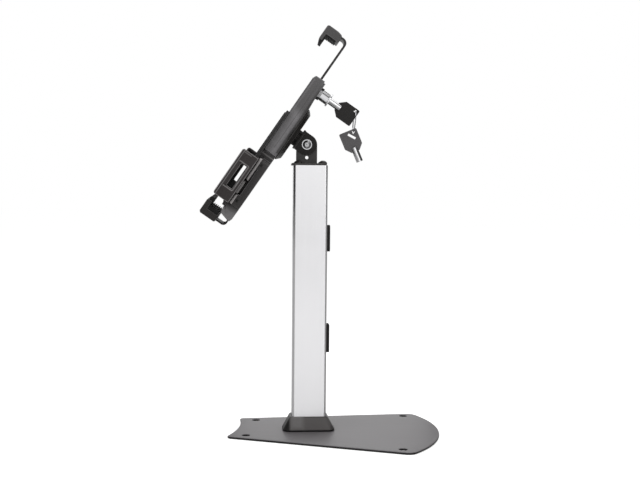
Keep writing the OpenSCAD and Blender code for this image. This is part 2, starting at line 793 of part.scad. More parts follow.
// A bow drawn from its outer end at zero down to the neck
module bow_outline(hole) difference() {
    hull() for (x = [-1, 1]) {
        translate([x * (bow_x / 2 - 1.5), -1.5]) circle(r = 1.5);
        translate([x * (bow_x / 2 - 1), -18.6]) circle(r = 1);
        translate([x * 4.6, 0.6 - bow_l]) circle(r = 0.6);
    }
    translate([hole[0], -hole[1]]) circle(r = 2.3, $fn = 3);
}

// A tube with a slot that grips the bow, from the bow's outer end downwards
module key_tube() difference() {
    disc(key_r, key_r - 1, -shaft_start - shaft_l, -shaft_start);
    translate([-bow_t / 2, -9, -bow_l]) cube([bow_t, 18, 20]);
}

module bow_plate(hole) difference() {
    across(bow_t) bow_outline(hole);
    children();
}

module at_key() on_lock() translate([0, 0, key_bow_w]) mirror([0, 0, 1]) children();

module key_shaft() color(chrome) at_key() key_tube();

module key_bow() color(black) at_key() bow_plate(key_hole);

module key_ring() color(chrome) on_mast() translate((ring_at + spare_at) / 2)
    rotate([atan2(-ring_drop[1], ring_drop[2]), 0, 0]) rotate([90, 0, 0])
        rotate_extrude($fn = 48) translate([ring_r, 0]) circle(r = ring_wire_r, $fn = 16);

module spare_shaft() color(chrome) on_spare() key_tube();

module spare_bow() color("#3d3b3e") on_spare() bow_plate(spare_hole)
    translate([-5, 2.4, -7.5]) rotate([-50, 0, 0])
        translate([0, -5, -1.4]) cube([10, 10, 2.8]);

// Top slider

// A strip that runs along the holder and bends forward at its end
module bent_strip(start, end, w, t, bend_r, forward) {
    s = sign(end - start);
    turns = [0 : 7.5 : 90];
    function bend(r) = [for (a = turns) [end - s * (bend_r - r * sin(a)), w + bend_r - r * cos(a)]];
    inner = bend(bend_r - t);
    polygon(concat([[start, w]], bend(bend_r), [[end, forward], [end - s * t, forward]],
        [for (i = [len(inner) - 1 : -1 : 0]) inner[i]], [[start, w + t]]));
}

module top_strip(gap) bent_strip(lock_u - 67, hook_u - 1.9 + gap, bar_w - gap,
    bar_t + 2 * gap, 6.5, hook_w + 12.3 + gap);

module top_bar() color(black) on_holder() difference() {
    across(2 * bar_x) top_strip(0);
    layer(bar_w - 1, bar_w + bar_t + 1) {
        rounded_span([-cam_slot_x, lock_u - 3 * notch_pitch - cam_tip_r - 1.5],
            [cam_slot_x, lock_u + 2 * notch_pitch + cam_tip_r + 1.5], 3);
        intersection() {
            for (i = notch_steps) translate([0, lock_u - i * notch_pitch]) circle(r = notch_r);
            translate([-12, -10]) square([12, 120]);
        }
    }
    hook_screw_places() mirror([0, 0, 1]) drill(screw_r + play, -2, 12);
}

module top_hook() color(black) on_holder() difference() {
    across(2 * hook_x) difference() {
        polygon([
            [hook_in_u - 0.8, hook_w], [hook_u - 2.6, hook_w], [hook_u - 1.1, hook_w + 1.5],
            [hook_u, hook_w + 6.7], [hook_u, hook_front_w - 1.6], [hook_u - 1.5, hook_front_w],
            [hook_lip_u + 0.6, hook_front_w], [hook_lip_u, hook_front_w - 0.6],
            [hook_lip_u, hook_front_w - 4.2], [hook_in_u, hook_front_w - 4.2],
            [hook_in_u, hook_w + 2.9], [hook_in_u - 0.8, hook_w + 2.9]]);
    }
    across(2 * (bar_x + glide)) polygon([
        [hook_u - 1.9 + play, hook_w - 7], [hook_u - 1.9 + play, hook_w + 12.3 + play],
        [hook_u - 1.9 - bar_t - play, hook_w + 12.3 + play],
        [hook_u - 1.9 - bar_t - play, hook_w - 7]]);
    hook_screw_places() flush_hole(screw_r, 9, 2.8);
}

// Screws from the hook's inner face through the strip
module hook_screw_places() for (x = [-9, 9]) translate([x, hook_in_u, hook_w + 6.3])
    rotate([90, 0, 0]) children();

module hook_screws() color(steel) on_holder() hook_screw_places()
    flush_screw(screw_r, 8.5, 2.8);

module top_pad() color(rubber) on_holder() across(2 * hook_x - 2) {
    difference() {
        polygon([[hook_in_u - 2, hook_w + 3], [hook_in_u, hook_w + 3],
            [hook_in_u, hook_front_w - 4.2], [hook_lip_u - 3.6, hook_front_w - 4.2],
            [hook_lip_u - 3.6, hook_front_w - 5.2], [hook_in_u - 2, hook_front_w - 5.2]]);
        for (i = [0 : 3]) translate([hook_in_u - 2, hook_w + 4.8 + 2.4 * i]) circle(r = 0.6);
    }
    polygon([[hook_lip_u - 4, hook_front_w - 5.2], [hook_lip_u, hook_front_w - 5.2],
        [hook_lip_u, hook_front_w - 1.4], [hook_lip_u - 3, hook_front_w - 1.4],
        [hook_lip_u - 4, hook_front_w - 2.2]]);
}

// Bottom slider

module bottom_strip(gap) bent_strip(stop_u + 45, shelf_u + 0.9, foot_bar_w, foot_bar_t, 5,
    shelf_w + 13.5);

module bottom_bar() color(black) on_holder() difference() {
    across(2 * foot_bar_x) bottom_strip(0);
    layer(rear_w, mid_top_w) rounded_span([-2.3, stop_u - shelf_travel[0] - 2.4],
        [2.3, stop_u + shelf_travel[1] + 2.4], 2.2);
    shelf_screw_places() mirror([0, 0, 1]) drill(screw_r + play, -2, 12);
}

module bottom_hook() color(black) on_holder() difference() {
    across(2 * shelf_x) polygon([
        [shelf_u + 1.2, shelf_w], [shelf_in_u + 4.5, shelf_w], [shelf_in_u + 4.5, shelf_w + 2],
        [shelf_in_u, shelf_w + 2], [shelf_in_u, shelf_front_w - 6.2],
        [shelf_lip_u, shelf_front_w - 6.2], [shelf_lip_u, shelf_front_w - 1.6],
        [shelf_lip_u - 1, shelf_front_w], [shelf_u + 2, shelf_front_w],
        [shelf_u, shelf_front_w - 1.8], [shelf_u, shelf_w + 1.2]]);
    across(2 * (foot_bar_x + glide)) polygon([
        [shelf_u + 0.9 - play, shelf_w - 6], [shelf_u + 0.9 - play, shelf_w + 13.5 + play],
        [shelf_u + 0.9 + foot_bar_t + play, shelf_w + 13.5 + play],
        [shelf_u + 0.9 + foot_bar_t + play, shelf_w - 6]]);
    shelf_screw_places() flush_hole(screw_r, 7.6, 2.8);
}

module shelf_screw_places() for (x = [-7, 7]) translate([x, shelf_in_u, shelf_w + 8.5])
    rotate([-90, 0, 0]) children();

module shelf_screws() color(steel) on_holder() shelf_screw_places()
    flush_screw(screw_r, 7.2, 2.8);

module bottom_pad() color(rubber) on_holder() across(2 * shelf_x - 2) {
    polygon([[shelf_in_u, shelf_w + 2.1], [shelf_in_u + 4.5, shelf_w + 2.1],
        [shelf_in_u + 4.5, shelf_front_w - 7.2], [shelf_lip_u + 4.3, shelf_front_w - 7.2],
        [shelf_lip_u + 4.3, shelf_front_w - 6.2], [shelf_in_u, shelf_front_w - 6.2]]);
    for (i = [0 : 4]) translate([shelf_in_u + 4.1, shelf_w + 2.5 + 2.4 * i])
        square([1.8, 1.2]);
    polygon([[shelf_lip_u, shelf_front_w - 7.2], [shelf_lip_u + 4.8, shelf_front_w - 7.2],
        [shelf_lip_u + 4.8, shelf_front_w - 3.2], [shelf_lip_u + 3.8, shelf_front_w - 2],
        [shelf_lip_u, shelf_front_w - 2]]);
}

// Side clamps, drawn on the +X side; the arm's height differs

module side_arm(u) difference() {
    layer(arm_w, arm_front_w)
        rounded_span([-arm_slot_x[1] - 7, u - arm_h / 2], [clamp_x - 3, u + arm_h / 2], 2);
    layer(arm_w - 1, arm_front_w + 1)
        rounded_span([-arm_slot_x[1], u - 2.3], [-arm_slot_x[0], u + 2.3], 2.2);
}

module side_clamp() difference() {
    intersection() {
        along(clamp_u) intersection() {
            union() {
                translate([clamp_back_x, arm_front_w])
                    square([clamp_x - clamp_back_x, clamp_back_t]);
                translate([clamp_x - clamp_wall, arm_front_w]) square([clamp_wall, clamp_depth]);
                rounded_span([clamp_x - 11, clamp_w - 3], [clamp_x, clamp_w], 1.4);
            }
            rounded_span([clamp_back_x - 16, arm_front_w - 10], [clamp_x, clamp_w], 3);
        }
        across(400) rounded_span([clamp_u[0], arm_front_w - 10], [clamp_u[1], clamp_w], 2.5);
    }
    // Window whose rim slopes in, mostly from the front
    across(400) rounded_span([window_u[0], window_w[0]], [window_u[1], window_w[1]], 1);
    translate([clamp_x, 0, 0]) hull() {
        translate([0.5, 0, 0]) across(1) rounded_span(
            [window_u[0] - window_rim[0], window_w[0] - window_rim[0]],
            [window_u[1] + window_rim[0], window_w[1] + window_rim[1]], 1);
        translate([-clamp_wall / 2, 0, 0]) across(0.2) rounded_span(
            [window_u[0], window_w[0]], [window_u[1], window_w[1]], 1);
    }
}

module side_pad() difference() {
    translate([clamp_x - clamp_wall - pad_t / 2, 0, 0]) across(pad_t)
        rounded_span([clamp_u[0] + 2, arm_front_w + clamp_back_t + 1.1],
            [clamp_u[1] - 2, clamp_w - 3], 1);
    across(400) rounded_span([window_u[0] - 1, window_w[0] - 1],
        [window_u[1] + 1, window_w[1] + 1], 1.5);
}

module right_arm() color(black) on_holder() side_arm(arm_mid_u[0]);

module right_clamp() color("#4a4546") on_holder() side_clamp();

module right_pad() color(rubber) on_holder() side_pad();

module left_arm() color(black) on_holder() mirror([1, 0, 0]) side_arm(arm_mid_u[1]);

module left_clamp() color("#4a4546") on_holder() mirror([1, 0, 0]) side_clamp();

module left_pad() color(rubber) on_holder() mirror([1, 0, 0]) side_pad();

base_mat();
base_plate();
foot_bolt();
slide_washer();
foot_spring();
foot_nut();
swivel_plate();
swivel_screws();
foot_collar();
mast();
lower_clip();
upper_clip();
mast_bracket();
mast_screws();
tilt_fork();
tilt_bolt();
tilt_nut();
tilt_washers();
tilt_slips();
stop_pin();
pivot_screw();
pivot_washer();
hub_disc();
pivot_slip();
hub_screws();
upper_casing();
lower_casing();
bar_keeper();
mid_plate();
stop_screw();
arm_guide();
arm_glides();
front_cover();
cover_screws();
arm_screws();
cushion();
lock_nut();
lock_barrel();
lock_plug();
lock_cam();
cam_screw();
key_shaft();
key_bow();
key_ring();
spare_shaft();
spare_bow();
top_bar();
top_hook();
hook_screws();
top_pad();
bottom_bar();
bottom_hook();
shelf_screws();
bottom_pad();
left_arm();
left_clamp();
left_pad();
right_arm();
right_clamp();
right_pad();
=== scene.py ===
import json
import math

import bmesh
import bpy
from mathutils import Matrix, Vector

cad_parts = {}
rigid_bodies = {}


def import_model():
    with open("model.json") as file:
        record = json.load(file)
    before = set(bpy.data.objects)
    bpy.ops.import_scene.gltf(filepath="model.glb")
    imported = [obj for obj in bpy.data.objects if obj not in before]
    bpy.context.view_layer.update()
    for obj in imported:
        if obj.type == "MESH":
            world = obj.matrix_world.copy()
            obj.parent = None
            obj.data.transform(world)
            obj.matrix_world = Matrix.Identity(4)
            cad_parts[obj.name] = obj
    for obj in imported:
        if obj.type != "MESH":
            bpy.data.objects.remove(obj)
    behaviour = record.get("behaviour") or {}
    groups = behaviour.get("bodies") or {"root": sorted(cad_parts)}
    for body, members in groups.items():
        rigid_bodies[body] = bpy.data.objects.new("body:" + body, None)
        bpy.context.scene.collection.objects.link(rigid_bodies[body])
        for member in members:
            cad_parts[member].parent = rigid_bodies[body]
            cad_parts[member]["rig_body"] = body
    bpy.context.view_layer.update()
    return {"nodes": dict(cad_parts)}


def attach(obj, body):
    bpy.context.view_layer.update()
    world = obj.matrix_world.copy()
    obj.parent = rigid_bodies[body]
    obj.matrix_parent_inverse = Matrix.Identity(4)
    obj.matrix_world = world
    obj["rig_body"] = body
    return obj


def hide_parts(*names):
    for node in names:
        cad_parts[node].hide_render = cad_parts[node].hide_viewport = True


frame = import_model()
mm = 0.001
print("frame loaded:", len(frame["nodes"]), "nodes")

# The part's own frames, in mm and degrees: the mast's turn, the fork's lean, the holder's spin
# and the spare key's lean on the ring
pose = dict(mastTurn=9, lean=55.5, holderTurn=4.5, boltY=-4.3, boltZ=338.1, spareLean=72)
onMast = Matrix.Rotation(math.radians(pose["mastTurn"]), 4, "Z")
onFork = onMast @ Matrix.Translation((0, pose["boltY"], pose["boltZ"])) @ Matrix.Rotation(
    math.radians(pose["lean"]), 4, "X")
onHolder = onFork @ Matrix.Rotation(math.radians(-pose["holderTurn"]), 4, "Z")


# Fills a node's inputs: another node's output is linked, anything else is a fixed value
def feed(tree, node, inputs):
    for label, value in inputs.items():
        if isinstance(value, bpy.types.NodeSocket):
            tree.links.new(value, node.inputs[label])
        else:
            node.inputs[label].default_value = value


def addNode(tree, kind, inputs=None, **settings):
    node = tree.nodes.new(kind)
    for key, value in settings.items():
        setattr(node, key, value)
    feed(tree, node, inputs or {})
    return node


def addMath(tree, operation, *values, clamp=False):
    inputs = dict(enumerate(values))
    return addNode(tree, "ShaderNodeMath", inputs, operation=operation, use_clamp=clamp).outputs[0]


def addVectorMath(tree, operation, *values):
    inputs = dict(enumerate(values))
    return addNode(tree, "ShaderNodeVectorMath", inputs, operation=operation).outputs[0]


def splitVector(tree, vector):
    return addNode(tree, "ShaderNodeSeparateXYZ", {"Vector": vector}).outputs


# A Mix node's first socket is its share, and 6 and 7 are its two colours
def mixColors(tree, share, first, second):
    inputs = {0: share, 6: first, 7: second}
    return addNode(tree, "ShaderNodeMix", inputs, data_type="RGBA").outputs[2]


# Puts a mesh into the scene; one that was drawn in mm comes with the matrix that moves it
def placed(mesh, name, matrix=None):
    obj = bpy.data.objects.new(name, mesh)
    bpy.context.scene.collection.objects.link(obj)
    if matrix is not None:
        mesh.transform(Matrix.Scale(mm, 4) @ matrix)
    return obj


def pieceName(node):
    first, *rest = node.split("_")
    return first + "".join(word.capitalize() for word in rest or ["shell"])


def newTree(name, kind, inputs, outputs):
    tree = bpy.data.node_groups.new(name, kind)
    for label, socket, value in inputs:
        tree.interface.new_socket(label, in_out="INPUT", socket_type=socket).default_value = value
    for label, socket in outputs:
        tree.interface.new_socket(label, in_out="OUTPUT", socket_type=socket)
    return tree, addNode(tree, "NodeGroupInput").outputs, addNode(tree, "NodeGroupOutput")


# What the shared effects have in common: noise scales per metre, the noise's own middle, how far
# streaks are drawn out along Y, and how the edge wear and painted edge light follow their noise
effects = dict(broadScale=38, streakScale=420, wearScale=160, zoneScale=210, noiseMiddle=0.5,
               streakStretch=0.03, fineShare=0.6, wearContrast=1.1, wearBase=0.25)
noColor = (0.05, 0.05, 0.05, 1)


def addNoise(tree, vector, scale, detail):
    inputs = {"Vector": vector, "Scale": scale, "Detail": detail}
    return addNode(tree, "ShaderNodeTexNoise", inputs).outputs["Fac"]


# Fine grain, broad mottling and lengthwise streaks, with Y as the long direction; the streaks are
# partly grain and partly painted sheen and reflection on the casings and the chrome
def buildGrainAndSheen():
    tree, given, out = newTree("surfaceGrain", "ShaderNodeTree", [
        ("Vector", "NodeSocketVector", (0, 0, 0)), ("Color", "NodeSocketColor", noColor),
        ("Variation", "NodeSocketFloat", 0.1), ("Streaks", "NodeSocketFloat", 0.0),
        ("Roughness", "NodeSocketFloat", 0.5), ("Roughness Spread", "NodeSocketFloat", 0.06),
        ("Grain Size", "NodeSocketFloat", 2200.0),
    ], [("Color", "NodeSocketColor"), ("Roughness", "NodeSocketFloat"),
        ("Height", "NodeSocketFloat")])
    middle, fineShare = effects["noiseMiddle"], effects["fineShare"]
    fine = addNoise(tree, given["Vector"], given["Grain Size"], detail=3)
    broad = addNoise(tree, given["Vector"], effects["broadScale"], detail=2)
    drawn = addVectorMath(tree, "MULTIPLY", given["Vector"], (1, effects["streakStretch"], 1))
    lines = addNoise(tree, drawn, effects["streakScale"], detail=3)
    streaks = addMath(tree, "SUBTRACT", lines, middle)
    both = addMath(tree, "MULTIPLY_ADD", fine, fineShare, broad)
    centred = addMath(tree, "SUBTRACT", both, middle * (1 + fineShare))
    mottled = addMath(tree, "MULTIPLY_ADD", centred, given["Variation"], 1)
    toned = addMath(tree, "MULTIPLY_ADD", streaks, given["Streaks"], mottled)
    scaled = addNode(tree, "ShaderNodeVectorMath", {0: given["Color"], "Scale": toned},
                     operation="SCALE")
    uneven = addMath(tree, "ADD", centred, streaks)
    rough = addMath(tree, "MULTIPLY_ADD", uneven, given["Roughness Spread"], given["Roughness"])
    feed(tree, out, {"Color": scaled.outputs[0], "Roughness": rough, "Height": fine})
    return tree


# Edge wear and painted light: colour and gloss change on the faces marked as rounded, broken up by
# noise; a lighter edge colour is partly wear and partly a painted highlight, a darker one painted
# shade
def buildEdgeWearAndPaintedLight():
    tree, given, out = newTree("edgeWear", "ShaderNodeTree", [
        ("Vector", "NodeSocketVector", (0, 0, 0)), ("Color", "NodeSocketColor", noColor),
        ("Roughness", "NodeSocketFloat", 0.5), ("Edge Color", "NodeSocketColor", noColor),
        ("Amount", "NodeSocketFloat", 0.6), ("Smoothing", "NodeSocketFloat", 0.1),
    ], [("Color", "NodeSocketColor"), ("Roughness", "NodeSocketFloat")])
    edge = addNode(tree, "ShaderNodeAttribute", attribute_name="roundedEdge")
    noise = addNoise(tree, given["Vector"], effects["wearScale"], detail=4)
    wearAndLightBreakup = addMath(tree, "MULTIPLY_ADD", noise, effects["wearContrast"], effects["wearBase"])
    mask = addMath(tree, "MULTIPLY", edge.outputs["Fac"], wearAndLightBreakup)
    strength = addMath(tree, "MULTIPLY", mask, given["Amount"], clamp=True)
    gloss = addMath(tree, "MULTIPLY", strength, given["Smoothing"])
    feed(tree, out, {"Color": mixColors(tree, strength, given["Color"], given["Edge Color"]),
                     "Roughness": addMath(tree, "SUBTRACT", given["Roughness"], gloss)})
    return tree


# A box in the piece's own frame, the same on both sides of X, with a soft border, in which light
# and shade are painted
def buildZone():
    tree, given, out = newTree("zoneMask", "ShaderNodeTree", [
        ("Vector", "NodeSocketVector", (0, 0, 0)), ("Low", "NodeSocketVector", (0, 0, 0)),
        ("High", "NodeSocketVector", (1, 1, 1)), ("Softness", "NodeSocketFloat", 0.001),
        ("Breakup", "NodeSocketFloat", 0.5), ("Amount", "NodeSocketFloat", 1.0),
    ], [("Mask", "NodeSocketFloat")])
    x, y, z = splitVector(tree, given["Vector"])
    sides = {"X": addMath(tree, "ABSOLUTE", x), "Y": y, "Z": z}
    folded = addNode(tree, "ShaderNodeCombineXYZ", sides).outputs[0]
    above = addVectorMath(tree, "SUBTRACT", folded, given["Low"])
    below = addVectorMath(tree, "SUBTRACT", given["High"], folded)
    x, y, z = splitVector(tree, addVectorMath(tree, "MINIMUM", above, below))
    depth = addMath(tree, "MINIMUM", addMath(tree, "MINIMUM", x, y), z)
    inside = addMath(tree, "DIVIDE", depth, given["Softness"], clamp=True)
    noise = addNoise(tree, given["Vector"], effects["zoneScale"], detail=3)
    centred = addMath(tree, "SUBTRACT", noise, effects["noiseMiddle"])
    broken = addMath(tree, "MULTIPLY_ADD", centred, given["Breakup"], 1)
    patchy = addMath(tree, "MULTIPLY", inside, broken)
    feed(tree, out, {"Mask": addMath(tree, "MULTIPLY", patchy, given["Amount"], clamp=True)})
    return tree


grainAndSheenGroup, edgeGroup, zoneGroup = buildGrainAndSheen(), buildEdgeWearAndPaintedLight(), buildZone()
# How a piece's long direction is turned onto Y
lie = {"holder": onHolder.inverted(), "mast": onMast.inverted(),
       "upright": Matrix.Rotation(math.radians(-90), 4, "X") @ onMast.inverted(),
       "lock": Matrix.Rotation(math.radians(-90), 4, "X") @ onHolder.inverted(),
       "spare": Matrix.Rotation(math.radians(pose["spareLean"]), 4, "X")}


# How much lighter the edge wear and painted edge highlight are where a finish names no colour for
# them, and the grain's depth in metres
surface = dict(edgeLift=2.2, bumpDistance=0.0002)


def makeFinish(name, color, variation, roughness, spread, grain, bump, edge=None, edgeAmount=0.6,
               metallic=0.0, specular=0.3, along=None, streaks=0.0, smoothing=0.1, coat=0.0,
               coatRoughness=0.5, zones=()):
    material = bpy.data.materials.new(name)
    material.use_nodes = True
    tree = material.node_tree
    turned = addNode(tree, "ShaderNodeMapping", {
        "Vector": addNode(tree, "ShaderNodeTexCoord").outputs["Object"]})
    if along:
        feed(tree, turned, {"Rotation": lie[along].to_euler(),
                            "Location": lie[along].to_translation() * mm})
    vector = turned.outputs[0]
    grainAndSheenOut = addNode(tree, "ShaderNodeGroup", {
        "Vector": vector, "Color": (*color, 1), "Variation": variation, "Streaks": streaks,
        "Roughness": roughness, "Roughness Spread": spread, "Grain Size": grain,
    }, node_tree=grainAndSheenGroup).outputs
    # Rounded edges take the edge colour, partly wear and partly painted light on the edges
    edgeColor = edge or [part * surface["edgeLift"] for part in color]
    wornAndPaintedEdge = addNode(tree, "ShaderNodeGroup", {
        "Vector": vector, "Color": grainAndSheenOut["Color"], "Roughness": grainAndSheenOut["Roughness"],
        "Edge Color": (*edgeColor, 1), "Amount": edgeAmount, "Smoothing": smoothing,
    }, node_tree=edgeGroup).outputs
    shade, coatWeight = wornAndPaintedEdge["Color"], coat
    # Each zone mixes painted light and shade into the colour
    for low, high, softness, paintedTone, amount, breakup in zones:
        mask = addNode(tree, "ShaderNodeGroup", {
            "Vector": vector, "Low": Vector(low) * mm, "High": Vector(high) * mm,
            "Softness": softness * mm, "Amount": amount, "Breakup": breakup,
        }, node_tree=zoneGroup).outputs["Mask"]
        shade = mixColors(tree, mask, shade, (*paintedTone, 1))
        if coat:  # no coat where the zone lies
            coatWeight = addMath(tree, "MULTIPLY_ADD", mask, -coat, coat)
    relief = addNode(tree, "ShaderNodeBump", {
        "Strength": bump, "Distance": surface["bumpDistance"], "Height": grainAndSheenOut["Height"]})
    feed(tree, tree.nodes["Principled BSDF"], {
        "Base Color": shade, "Roughness": wornAndPaintedEdge["Roughness"], "Metallic": metallic,
        "Specular IOR Level": specular, "Coat Weight": coatWeight,
        "Coat Roughness": coatRoughness, "Normal": relief.outputs["Normal"]})
    return material


